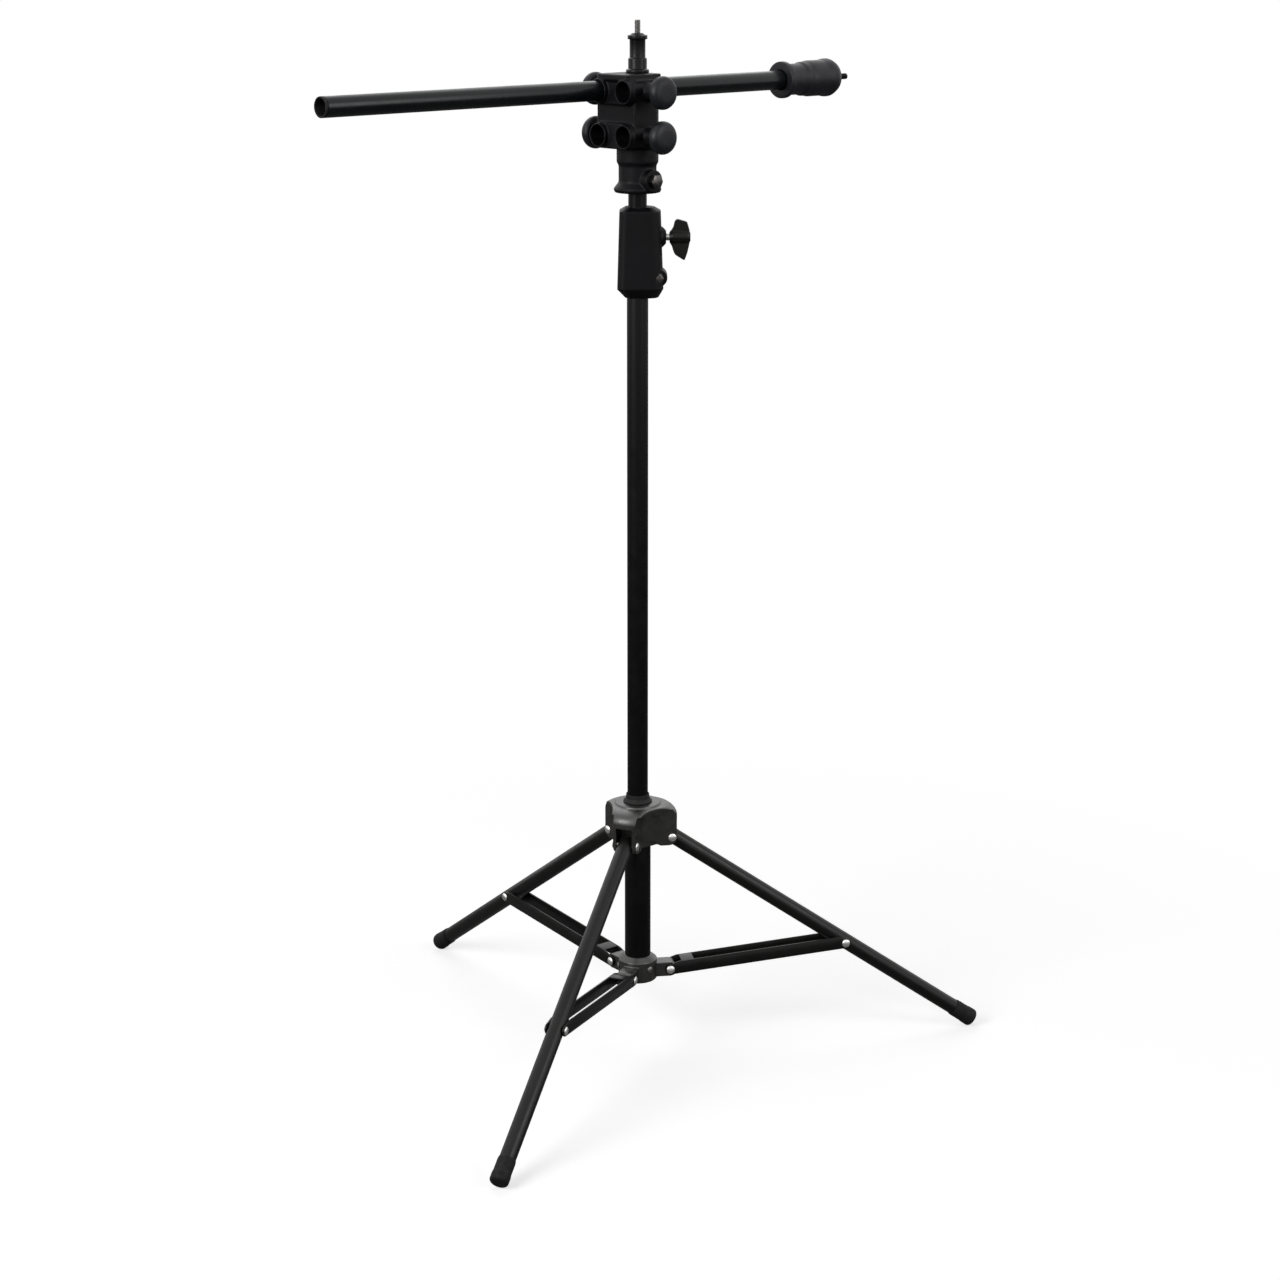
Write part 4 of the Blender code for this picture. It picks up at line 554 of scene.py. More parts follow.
crown_body = prism("crown_body", three_lobes(WALL_ARC), crown_bottom, crown_top, crown_place)
crown_cap = prism(
    "crown_cap", three_lobes(CAP_ARC), crown_top - CAP_DEPTH, crown_top + SEAM, crown_place
)
dome_curve = [
    (DOME_START + (CROWN_RADIUS - DOME_START) * x, crown_top - DOME_DROP + (DOME_DROP - STEP_DROP) * y)
    for x, y in arc((0, 0), 1, 90, 0, steps=16)
]
crown_blank = turned("crown_blank", [
    (0, crown_top), (DOME_START - 1, crown_top), *dome_curve,
    *arc((CROWN_RADIUS - CROWN_ROUND, crown_bottom + CROWN_ROUND), CROWN_ROUND, 0, -90),
    (0, crown_bottom),
], crown_place)
crown_cuts = [
    rod("crown_bore", COLUMN_RADIUS + PLAY, cut_bottom, cut_top, crown_place),
    rod("bush_bore", BUSH_RADIUS + SEAM, bush_bottom - SEAM, cut_top, crown_place),
]
for k in (1, 2, 3):
    point, out, along = pivot(f"leg_{k}_fold")
    slot_place = at(point, UP, along)
    crown_cuts.append(bar(
        f"slot_{k}", (SLOT_START - CROWN_PIVOT_RADIUS, -FORK_HALF_GAP, cut_bottom),
        (SLOT_PAST, FORK_HALF_GAP, SLOT_ROOF), slot_place,
    ))
    crown_cuts.append(rod(f"pin_hole_{k}", pin_hole, -PIN_CUT, PIN_CUT, at(point, along), HOLE_SIDES))
    arch_axis = Vector((0, 0, (crown_bottom + ARCH_RISE - ARCH_RADIUS) * MM))
    arch_place = at(crown_place.translation + arch_axis, -out)
    crown_cuts.append(rod(f"arch_{k}", ARCH_RADIUS, ARCH_START, ARCH_END, arch_place))
crown = moulded("leg_crown_moulding", [crown_body, crown_cap], crown_cuts, CROWN_GRAIN, keep=crown_blank)
seat(crown, "crown", "crown_plastic", crown_nylon, "leg_crown")
crown_pin = headed_pin("pin_pattern", PIN_RADIUS, LOBE_HALF, along_y)
crown_pins = ring_of("crown_pins", crown_pin, 3, CROWN_PIVOT_RADIUS, FIRST_ANGLE, crown_place)
seat(crown_pins, "crown", "bright_steel", bright_nickel, "crown_pin_1", "crown_pin_2", "crown_pin_3")


# The guide bush in the crown's top is matte polypropylene, pressed in up to its cone.
# It is what slides on the column's enamel.
GUIDE_RADIUS, CONE_RADIUS, COLLAR_RADIUS = 12.4, 12.7, 15.5
CONE_TOP, CONE_BOTTOM = 4.5, 1.2
bush_bore = COLUMN_RADIUS + PLAY
bush = turned("crown_guide_bush", softened([
    (GUIDE_RADIUS, bush_top), (CONE_RADIUS, crown_top + CONE_TOP),
    (COLLAR_RADIUS, crown_top + CONE_BOTTOM), (COLLAR_RADIUS, crown_top + SEAM),
    (BUSH_RADIUS, crown_top + SEAM), (BUSH_RADIUS, bush_bottom),
    (bush_bore, bush_bottom), (bush_bore, bush_top),
], 0.4, closed=True), crown_place, closed=True)
seat(bush, "crown", "small_plastic", black_polypropylene, "crown_bush")


# Each leg is a 17 mm steel tube in black enamel, closed at the top by a round-nosed plug
# that turns in the crown, with a moulded rubber foot pushed over its lower end.
LEG_ANGLE = math.radians(55.45)
LEG_REACH = 418.0
LEG_RADIUS = 8.5
LEG_TOP = 6.0
# The plug's curve, in millimetres from its middle and above the tube's end.
NOSE = (
    (0, 4), (2.2, 3.85), (4.4, 3.35), (6.2, 2.5), (7.6, 1.4), (8.4, 0.4), (8.3, SEAM), (7, SEAM),
    (7, -16), (0, -16),
)
FOOT_RADIUS, FOOT_LENGTH, FOOT_REACH = 9.9, 27.0, 418.7
FOOT_SOLE, FOOT_ROUND = 1.8, 3.5
FOOT_BORE, FOOT_SLEEVE = LEG_RADIUS + 0.2, LEG_RADIUS + 0.9
leg_enamel = baked_enamel("baked_enamel_on_leg_tube", "#111110", "#191918", 0.26, 0.38, 0.3)
# The rubber is dull black, and a little dusty.
black_rubber = skin(
    "moulded_black_rubber", "#0c0c0c", "#191817", (7.0, 5.0, 0.6), (4.0, 3.0), (0.68, 0.85), 0.3,
    (1.8, 2.0), 0.06, 1.52, tones=(0.0, 1.0, 0.35, 0.75),
)
for k in (1, 2, 3):
    point, out, along = pivot(f"leg_{k}_fold")
    down = out * math.sin(LEG_ANGLE) - Vector((0, 0, math.cos(LEG_ANGLE)))
    leg_place = at(point, -down, along)
    sole = -LEG_REACH + FOOT_SOLE
    leg = tube(f"leg_{k}_tube", LEG_RADIUS, TUBE_WALL, sole + SEAM, LEG_TOP, leg_place, LEG_SIDES)
    seat(leg, f"leg_{k}", "tube_paint", leg_enamel, f"leg_tube_{k}")
    nose_profile = [(radius, LEG_TOP + rise) for radius, rise in NOSE]
    nose = turned(f"leg_{k}_nose", nose_profile, leg_place, LEG_SIDES)
    seat(nose, f"leg_{k}", "small_plastic", black_polypropylene, f"leg_top_plug_{k}")
    foot_top = -LEG_REACH + FOOT_LENGTH
    foot = turned(f"leg_{k}_rubber_foot", softened([
        (0, sole), (FOOT_BORE, sole), (FOOT_BORE, foot_top), (FOOT_SLEEVE - SEAM, foot_top),
        (FOOT_SLEEVE, foot_top - 2), (FOOT_SLEEVE, foot_top - 15), (FOOT_RADIUS, foot_top - 18),
        (FOOT_RADIUS, -FOOT_REACH + FOOT_ROUND),
        *arc((FOOT_RADIUS - FOOT_ROUND, -FOOT_REACH + FOOT_ROUND), FOOT_ROUND, -10, -90, steps=8),
        (0, -FOOT_REACH),
    ], 0.4), leg_place, LEG_SIDES)
    seat(foot, f"leg_{k}", "foot_rubber", black_rubber, f"leg_foot_{k}")


# Each brace is a fork stamped from steel strip and enamelled: two flat bars beside the leg,
# bridged by a web near the hub, where the strip was folded. The bars reach further up than
# down, and rivets join them to the leg.
BRACE_RISE = math.radians(5.5)
BRACE_LENGTH = 197.0
BAR_HALF_HEIGHT = 5.8
BAR_CREST = 8.4
CREST_RAMP = 10.0
WEB_START, WEB_END, WEB_THICKNESS = 13.0, 27.0, 2.0
BAR_EDGE, WEB_EDGE = 0.35, 0.3


def strip(name, outline, bottom, top, place, edge):
    """A flat piece with its edges rounded, as stamping and tumbling leave them."""
    piece = prism(name, outline, bottom, top, place)
    with_settings(
        piece.modifiers.new("tumbled_edge", "BEVEL"), width=edge * MM, segments=2, limit_method="ANGLE"
    )
    return settled(piece)


def joined(name, pieces):
    """One mesh of several that touch or stand apart."""
    form = bmesh.new()
    for piece in pieces:
        form.from_mesh(piece.data)
        bpy.data.objects.remove(piece)
    return smooth(in_mesh(name, form))


leg_rivet = turned("head_pattern", dome(HEAD_RADIUS, HEAD_HEIGHT, FORK_OUTER + SEAM) + [
    (PIN_RADIUS, FORK_OUTER + SEAM), (PIN_RADIUS, FORK_HALF_GAP), (0, FORK_HALF_GAP),
], along_x, HEAD_SIDES)
leg_rivet.data.transform(Matrix.Translation((-FORK_OUTER * MM, 0, 0)))
for k in (1, 2, 3):
    point, out, along = pivot(f"brace_{k}_fold")
    reach = out * math.cos(BRACE_RISE) + Vector((0, 0, math.sin(BRACE_RISE)))
    # The bars are drawn flat, with X along the brace and Y upwards, and Z across it.
    flat = at(point, -along, reach.cross(along))
    crest = [(BRACE_LENGTH - CREST_RAMP, BAR_CREST), (CREST_RAMP, BAR_CREST)]
    bar_outline = [
        *arc((BRACE_LENGTH, 0), BAR_HALF_HEIGHT, -90, 90), *crest, *arc((0, 0), BAR_HALF_HEIGHT, 90, 270),
    ]
    sides = [
        strip(f"bar_{k}_{side}", bar_outline, *heights, flat, BAR_EDGE)
        for side, heights in enumerate(((FORK_HALF_GAP, FORK_OUTER), (-FORK_OUTER, -FORK_HALF_GAP)))
    ]
    web = strip(f"web_{k}", [
        (WEB_START, BAR_CREST - WEB_THICKNESS), (WEB_END, BAR_CREST - WEB_THICKNESS),
        (WEB_END, BAR_CREST), (WEB_START, BAR_CREST),
    ], -FORK_OUTER + 0.5, FORK_OUTER - 0.5, flat, WEB_EDGE)
    fork = joined(f"brace_{k}_fork", [*sides, web])
    seat(fork, f"spreader_{k}", "tube_paint", leg_enamel, f"brace_{k}")
    end = point + reach * BRACE_LENGTH * MM
    heads_place = at(end, UP, along)
    heads = ring_of(f"leg_{k}_rivet_heads", leg_rivet, 2, FORK_OUTER, math.pi / 2, heads_place)
    seat(heads, f"spreader_{k}", "bright_steel", bright_nickel,
         f"leg_rivet_{k}_left", f"leg_rivet_{k}_right")
for pattern in (hub_pin, small_rivet, crown_pin, leg_rivet):
    bpy.data.objects.remove(pattern)


# The lock collar is a split moulding of fine-grained ABS, clamped on the column's top by a bolt.
# Its body is a rounded box, wider on the clamp side, with a boss for the wing screw.
def grained_abs(name, dark, light, rough_low, rough_high, gloss):
    """Moulded ABS from a spark-eroded tool: black with a fine even grain and a soft sheen."""
    # Spark grain is about 0.3 mm, and is drawn three times as coarse so that it shows.
    flow, rub, grain, depth = (30.0, 3.0), (8.0, 4.0), (1.0, 2.0, 0.7), 0.07
    return skin(name, dark, light, flow, rub, (rough_low, rough_high), gloss, grain, depth, 1.54)


collar_abs = grained_abs("spark_grained_abs_collar", "#0a0a0c", "#111114", 0.42, 0.56, 0.14)
collar_low, collar_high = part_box("lock_collar")
COLLAR_YAW = math.radians(-42.5)
COLLAR_HEIGHT = (collar_high.z - collar_low.z) / MM
CUT_CORNER, LONG_CORNER, SHORT_CORNER = 5.0, 10.0, 3.0
WING_BELOW_TOP = 31.0
TOP_TUBE_RADIUS = 9.5
COLUMN_DEPTH = 47.0
GUIDE_LENGTH, GUIDE_WALL = 24.0, 2.5
EAR_OUT, EAR_HEIGHT, EAR_RADIUS, EAR_HALF = 21.5, 21.0, 9.0, 13.0
BOLT_RADIUS, BOLT_PITCH = 2.5, 0.8
SCREW_RADIUS, SCREW_PITCH = 4.0, 1.25
SPLIT_START, SPLIT_HALF = 11.0, 1.0
CUT_PAST = 10.0
COLLAR_GRAIN = 0.6
collar_out = Vector((math.cos(COLLAR_YAW), math.sin(COLLAR_YAW), 0))
collar_across = Vector(UP).cross(collar_out)
collar_place = at((AXIS.x, AXIS.y, collar_low.z), UP, collar_across)


def collar_level(left, right, depth, height):
    """One level of the collar: cut corners on the left, rounder ones on the clamp side."""
    half = [
        (-left, -depth + CUT_CORNER), (-left + CUT_CORNER, -depth), (right - LONG_CORNER, -depth),
        (right - SHORT_CORNER, -depth + SHORT_CORNER), (right, -depth + LONG_CORNER),
    ]
    corners = half + [(x, -y) for x, y in reversed(half)]
    return [(x, y, height) for x, y in softened(corners, 4, closed=True, steps=5)]


collar_body = loft("collar_body", [
    collar_level(12.6, 21.5, 12.3, 0), collar_level(20.8, 26.5, 20.5, 9.5),
    collar_level(18.5, 23.7, 18.5, COLLAR_HEIGHT - 4), collar_level(12.1, 17.3, 12.1, COLLAR_HEIGHT),
], collar_place)
ear_centre = collar_place @ Vector((EAR_OUT * MM, 0, EAR_HEIGHT * MM))
lug_place = at(ear_centre, collar_across, UP)
collar_lug = rod("collar_lug", EAR_RADIUS, -EAR_HALF, EAR_HALF, lug_place)
wing_centre = collar_place @ Vector((0, 0, (COLLAR_HEIGHT - WING_BELOW_TOP) * MM))
wing_place = at(wing_centre, collar_out, UP)
wing_boss = turned("wing_boss", [
    (0, 29.2), (6.5, 29.2), (9.8, 26.2), (11.5, 22.7), (11.5, 15), (0, 15),
], wing_place, BOSS_SIDES)
split = bar("split", (SPLIT_START, -SPLIT_HALF, -CUT_PAST), (40, SPLIT_HALF, 40), collar_place)
guide_bottom = COLLAR_HEIGHT - GUIDE_LENGTH
collar = moulded("clamp_collar", [collar_body, collar_lug, wing_boss], [
    rod("column_bore", COLUMN_RADIUS + SEAM, -CUT_PAST, COLUMN_DEPTH + SEAM, collar_place),
    rod("tube_bore", TOP_TUBE_RADIUS + PLAY, CUT_PAST, COLLAR_HEIGHT + CUT_PAST, collar_place),
    rod("guide_bore", GUIDE_RADIUS + SEAM, guide_bottom - SEAM, COLLAR_HEIGHT + CUT_PAST, collar_place),
    split, rod("bolt_hole", BOLT_RADIUS + SEAM, -30, 30, lug_place, HOLE_SIDES),
    rod("screw_hole", SCREW_RADIUS + PLAY, 7.5, 40, wing_place, HOLE_SIDES),
], COLLAR_GRAIN)
seat(collar, "stand", "head_plastic", collar_abs, "lock_collar")
guide = tube("collar_guide", GUIDE_RADIUS, GUIDE_WALL, guide_bottom, COLLAR_HEIGHT, collar_place)
seat(guide, "stand", "small_plastic", black_polypropylene, "collar_bush")


# A hex bolt and nut of black zinc-plated steel pull the collar's two ears together.
# The bolt's plating is a paler copy of the black zinc, a painted highlight, and the thread is rolled.
BOLT_ACROSS, BOLT_HEAD = 9.5, 4.0
THREAD_DEPTH, STEPS_A_PITCH = 0.55, 8
HEX_FACE, HEX_SLOPE_OUT, HEX_SLOPE_DOWN = 0.97, 2.6, 1.5


def threaded(name, radius, pitch, start, end, place, sides=36):
    """A rod with a rolled thread: its radius rises and falls once a pitch, and turns with it."""
    depth = THREAD_DEPTH * pitch
    count = max(2, round((end - start) / (pitch / STEPS_A_PITCH)))
    levels = []
    for i in range(count + 1):
        height = start + (end - start) * i / count
        taper = max(0.0, depth - min(height - start, end - height))
        level = []
        for j in range(sides):
            angle = 2 * math.pi * j / sides
            phase = (height / pitch - j / sides) % 1.0
            # The crest is flat for a fifth of the pitch, and the root for two fifths.
            crest = min(1.0, max(0.0, 1.5 - 2.5 * abs(2 * phase - 1)))
            r = min(radius - depth * (1 - crest), radius - taper)
            level.append((r * math.cos(angle), r * math.sin(angle), height))
        levels.append(level)
    return smooth(loft(name, levels, place), 60)


def hexagon(name, across, start, end, place):
    """A hex head or nut, its corners turned off at the outer face."""
    corner = across / math.sqrt(3)
    outline = [(corner * math.cos(a), corner * math.sin(a)) for a in (i * math.pi / 3 for i in range(6))]
    head = prism(name, outline, start, end, place)
    wide = across / 2 + HEX_SLOPE_OUT
    cone = turned("chamfer", [
        (0, end), (across / 2 * HEX_FACE, end), (wide, end - HEX_SLOPE_DOWN), (wide, start - 1),
        (0, start - 1),
    ], place)
    with_settings(
        head.modifiers.new("chamfer", "BOOLEAN"), operation="INTERSECT", solver="EXACT", object=cone
    )
    settled(head)
    bpy.data.objects.remove(cone)
    return smooth(head, 25)


black_zinc = plated("black_zinc_plated_bolt_steel", 2.5, "#242423", "#383735", 0.3, 0.4)
# A paler copy of the black zinc, a painted highlight, for the clamp bolt and the head screw.
painted_highlight_zinc = plated("black_zinc_bolt_steel_with_painted_highlight", 2.5, "#4c4b49", "#6e6c6a", 0.24, 0.34)
bright_zinc = plated("zinc_plated_screw_steel", 2.5, "#c9c8c4", "#e6e5e2", 0.26, 0.38)
ear = EAR_HALF + SEAM
other_way = at(lug_place.translation, -collar_across, UP)
bolt = joined("collar_clamp_bolt", [
    hexagon("bolt_head", BOLT_ACROSS, ear, ear + BOLT_HEAD, other_way),
    threaded("bolt_shank", BOLT_RADIUS, BOLT_PITCH, -ear - 1, ear + BOLT_HEAD + 1.5, lug_place),
])
seat(bolt, "stand", "bright_steel", painted_highlight_zinc, "clamp_bolt")
nut = hexagon("collar_clamp_nut", BOLT_ACROSS, ear, ear + BOLT_HEAD, lug_place)
seat(nut, "stand", "bright_steel", black_zinc, "clamp_nut")


# The wing screw is turned steel with a wing of smooth black plastic moulded on its end.
# It presses a small pad on the top tube, so that the tube isn't marked.
wing_abs = grained_abs("moulded_wing_plastic", "#121211", "#1b1b1a", 0.3, 0.44, 0.2)
PAD_RADIUS, PAD_START, PAD_END = 3.5, 9.9, 12.1
WING_START, WING_TIP, BLADE_HALF = 32.5, 54.0, 2.8
WING_GRAIN = 0.45
pad_profile = softened([(0, PAD_END), (PAD_RADIUS, PAD_END), (PAD_RADIUS, PAD_START), (0, PAD_START)], 0.4)
pad = turned("brake_button", pad_profile, wing_place, HOLE_SIDES)
seat(pad, "stand", "small_plastic", black_polypropylene, "brake_pad")
wing_screw = threaded("wing_screw_thread", SCREW_RADIUS, SCREW_PITCH, PAD_END + SEAM, 44.5, wing_place)
seat(wing_screw, "wing", "bright_steel", bright_zinc, "wing_screw")
blade_outline = [
    (WING_START, -5.3), (34.9, -8.6), (36.2, -13.4), (38.1, -17.8), (48.0, -24.0), (50.8, -16.3),
    (52.9, -7.2), (WING_TIP, 0.0), (53.1, 7.0), (50.6, 15.5), (40.5, 18.5), (37.9, 16.6),
    (36.8, 11.1), (35.1, 7.8), (WING_START, 5.2),
]
blade_place = at(wing_centre, -collar_across, UP)
blade_edge = softened(blade_outline, 1.6, closed=True)
blade = prism("wing_blade", blade_edge, -BLADE_HALF, BLADE_HALF, blade_place)
wing_core = turned("wing_core", [
    (0, WING_TIP), (4.6, WING_TIP), (6.3, 51), (6.5, 36), (5.2, WING_START), (0, WING_START),
], wing_place, BOSS_SIDES)
wing_socket = rod("wing_socket", SCREW_RADIUS + 0.1, 20, 45, wing_place, SOCKET_SIDES)
wing = moulded("wing_grip", [blade, wing_core], [wing_socket], WING_GRAIN)
seat(wing, "wing", "head_plastic", wing_abs, "wing_knob")


# The top tube slides in the collar and carries the head. It is 19 mm steel in satin enamel,
# a darker and less glossy copy of the column's; its darker colour is painted shade.
head_low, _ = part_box("head_body")
top_low, top_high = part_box("top_tube")
# A darker copy of the column's enamel: the darker colour is painted shade.
darker_upper_enamel_painted_shade = baked_enamel("baked_enamel_on_upper_tube_with_painted_shade", "#060607", "#0c0c0d", 0.24, 0.34, 0.1)
top_tube = tube(
    "upper_column", TOP_TUBE_RADIUS, TUBE_WALL, 0, (top_high.z - top_low.z) / MM, on_column(top_low.z)
)
seat(top_tube, "mast", "tube_paint", darker_upper_enamel_painted_shade, "top_tube")


# The grip head is one thick moulding of grained ABS: a neck with a flared rim, two blocks with
# a pair of bores each, a web between them and a plate on top, with a boss for every screw.
head_abs = grained_abs("spark_grained_abs_head", "#08080b", "#0f0e13", 0.42, 0.56, 0.16)
head_place = on_column(head_low.z)
LOWER_BORE, UPPER_BORE = 58.0, 102.0
BORE_OFFSET = 19.0
BOOM_RADIUS = 10.0
BORE_RADIUS = BOOM_RADIUS + PLAY
BORE_CHAMFER = 0.6
BLOCK_FRONT, BLOCK_BACK = -33.0, 14.0
BLOCK_WIDE, BLOCK_HIGH, BLOCK_ROUND = 31.9, 12.9, 12.6
BOSS_FRONT, BOSS_BACK, BOSS_RADIUS = -38.0, 18.0, 12.2
SCREW_BOSS = ((0, 40), (8, 40), (9.2, 31), (9.2, BORE_OFFSET), (0, BORE_OFFSET))
KNOB_X = -12.0
PLATE_BOTTOM, HEAD_TOP = 112.5, 119.0
HEAD_SCREW_HEIGHT, HEAD_SCREW_ACROSS, HEAD_SCREW_SEAT = 12.5, 13.0, 25.5
SPIGOT_DEPTH = 12.0
HEAD_GRAIN = 0.8


def head_axis(x, y, z, up):
    """A place on the head, in millimetres from the middle of its underside."""
    return at(head_place @ Vector((x * MM, y * MM, z * MM)), up, UP if up[2] == 0 else (0, 1, 0))


def rounded_box(x0, y0, x1, y1, radius):
    left, right, low, high = x0 + radius, x1 - radius, y0 + radius, y1 - radius
    points = []
    for i, centre in enumerate(((right, high), (left, high), (left, low), (right, low))):
        points += arc(centre, radius, 90 * i, 90 * i + 90, steps=10)
    return points


head_solids = [turned("neck", softened([
    (0, 113.5), (21.3, 113.5), (21.3, 30.5), (19.3, 27.5), (19.3, 10.5), (23.6, 5), (24.6, 3.5),
    (23.1, 0), (0, 0),
], 1.2), head_place)]
head_cuts = []
flare = CUT_PAST + BORE_CHAMFER
knob_hole = SCREW_RADIUS + PLAY
block = rounded_box(-BLOCK_WIDE, -BLOCK_HIGH, BLOCK_WIDE, BLOCK_HIGH, BLOCK_ROUND)
for level in (LOWER_BORE, UPPER_BORE):
    head_solids.append(prism(
        f"block_{level:.0f}", block, BLOCK_FRONT, BLOCK_BACK, head_axis(0, 0, level, (1, 0, 0))
    ))
    for side in (-1, 1):
        hand = f"{level:.0f}_{'left' if side > 0 else 'right'}"
        bore_place = head_axis(0, side * BORE_OFFSET, level, (1, 0, 0))
        head_solids.append(turned(f"boss_{hand}", softened([
            (0, BOSS_BACK), (BOSS_RADIUS, BOSS_BACK), (BOSS_RADIUS, BOSS_FRONT), (0, BOSS_FRONT),
        ], 0.8), bore_place))
        screw_place = head_axis(KNOB_X, 0, level, (0, side, 0))
        screw_boss = softened(SCREW_BOSS, 0.8)
        head_solids.append(turned(f"screw_boss_{hand}", screw_boss, screw_place, BOSS_SIDES))
        head_cuts.append(turned(f"bore_{hand}", [
            (0, BOSS_BACK + CUT_PAST), (BORE_RADIUS + flare, BOSS_BACK + CUT_PAST),
            (BORE_RADIUS, BOSS_BACK - BORE_CHAMFER), (BORE_RADIUS, BOSS_FRONT + BORE_CHAMFER),
            (BORE_RADIUS + flare, BOSS_FRONT - CUT_PAST), (0, BOSS_FRONT - CUT_PAST),
        ], bore_place))
        head_cuts.append(rod(f"screw_hole_{hand}", knob_hole, BORE_OFFSET, 50, screw_place, HOLE_SIDES))
head_screw_place = head_axis(0, 0, HEAD_SCREW_HEIGHT, (0, -1, 0))
head_solids += [
    prism("web", rounded_box(-30, -29, 2, 29, 3), LOWER_BORE, PLATE_BOTTOM + 2, head_place),
    prism("plate", rounded_box(-36, -24, 13, 24, 6), PLATE_BOTTOM, HEAD_TOP, head_place),
    rod("head_screw_boss", 11.5, 12.9, HEAD_SCREW_SEAT - SEAM, head_screw_place),
]
screw_hole = SCREW_RADIUS + SEAM
spigot_end = HEAD_TOP - SPIGOT_DEPTH
head_cuts += [
    rod("socket", TOP_TUBE_RADIUS + PLAY, -CUT_PAST, 40, head_place),
    rod("head_screw_hole", screw_hole, 6.5, 30, head_screw_place, HOLE_SIDES),
    rod("spigot_hole", screw_hole, spigot_end - SEAM, HEAD_TOP + CUT_PAST, head_place, HOLE_SIDES),
]
head = moulded("grip_head", head_solids, head_cuts, HEAD_GRAIN, passes=5)
seat(head, "head", "head_plastic", head_abs, "head_body")
head_screw = joined("head_clamp_screw", [
    hexagon("screw_head", HEAD_SCREW_ACROSS, HEAD_SCREW_SEAT, HEAD_SCREW_SEAT + 5, head_screw_place),
    threaded("screw_shank", SCREW_RADIUS, SCREW_PITCH, 9.9, 27.2, head_screw_place),
])
# The head screw takes the paler black zinc, a painted highlight.
seat(head_screw, "head", "bright_steel", painted_highlight_zinc, "head_screw")


# Four round knobs of grained plastic, each moulded on a steel screw, grip what is in the bores.
# Each has a softly domed face, and a short collar towards the head.
KNOB_SCREW = (29.7, 55.0)
knob_abs = grained_abs("spark_grained_abs_knob", "#17181d", "#212228", 0.36, 0.5, 0.3)
knob_profile = softened([
    (0, 57.8), (9.0, 57.6), (14.0, 56.4), (16.5, 52.5), (16.5, 48.0), (14.5, 45.5), (8.6, 45.5),
    (8.0, 42.0), (4.3, 42.0), (4.3, 55.3), (0, 55.3),
], 2.6, steps=6)
for level, height in (("lower", LOWER_BORE), ("upper", UPPER_BORE)):
    for hand, side in (("left", 1), ("right", -1)):
        knob_place = head_axis(KNOB_X, 0, height, (0, side, 0))
        body = f"{level}_{hand}_clamp"
        knob = turned(f"{level}_{hand}_grip", knob_profile, knob_place)
        seat(knob, body, "head_plastic", knob_abs, f"{level}_{hand}_knob")
        screw = threaded(f"{level}_{hand}_thread", SCREW_RADIUS, SCREW_PITCH, *KNOB_SCREW, knob_place)
        seat(screw, body, "bright_steel", bright_zinc, f"{level}_{hand}_screw")


# The spigot is turned from steel bar and blackened: a wide foot, a 16 mm neck and a flange,
# with a quarter-inch threaded stud in its top.
def turned_steel(name):
    """Steel bar from the lathe, blacked in an oxide bath, with fine rings round the work."""
    material, tree, shader = new_material(name)
    where = add_node(tree, "ShaderNodeTexCoord").outputs["Object"]
    # Tool marks are about 0.1 mm apart, and are drawn ten times as wide so that they show.
    stretch = add_node(tree, "ShaderNodeMapping", {"Vector": where, "Scale": (20, 20, 1000)})
    rings = add_node(tree, "ShaderNodeTexNoise", {
        "Vector": stretch.outputs["Vector"], "Scale": 1.0, "Detail": 2.0,
    }).outputs["Fac"]
    feed(tree, shader, {
        "Base Color": two_tone(tree, spread(tree, rings, 0.0, 1.0), "#090909", "#121211"),
        "Roughness": spread(tree, rings, 0.22, 0.32),
        "Normal": bump(tree, rings, 0.006),
        "Specular IOR Level": 0.22,
        "IOR": 1.5,
    })
    return material


spigot_steel = turned_steel("turned_blackened_steel_bar")
SPIGOT_LENGTH, STUD_DEPTH, STUD_LENGTH = 39.0, 14.0, 13.0
STUD_RADIUS, STUD_PITCH = 3.175, 1.27
stud_bore = STUD_RADIUS + SEAM
foot = HEAD_TOP + SEAM
shoulder = foot + SPIGOT_LENGTH
spigot = turned("spigot_bar", softened([
    (stud_bore, shoulder), (5.5, shoulder), (8, shoulder - 2), (10, shoulder - 2), (10, shoulder - 6),
    (8, shoulder - 6), (8, foot + 15), (9.5, foot + 14), (9.5, foot + 4), (11.7, foot + 3), (11.7, foot),
    (4, foot), (4, spigot_end), (0, spigot_end),
    (0, shoulder - STUD_DEPTH), (stud_bore, shoulder - STUD_DEPTH),
], 0.5, closed=True), head_place, closed=True)
seat(spigot, "head", "bright_steel", spigot_steel, "spigot")
stud_start, stud_end = shoulder - STUD_DEPTH + SEAM, shoulder + STUD_LENGTH
stud = threaded("spigot_thread", STUD_RADIUS, STUD_PITCH, stud_start, stud_end, head_place)
seat(stud, "head", "bright_steel", dull_zinc, "spigot_stud")


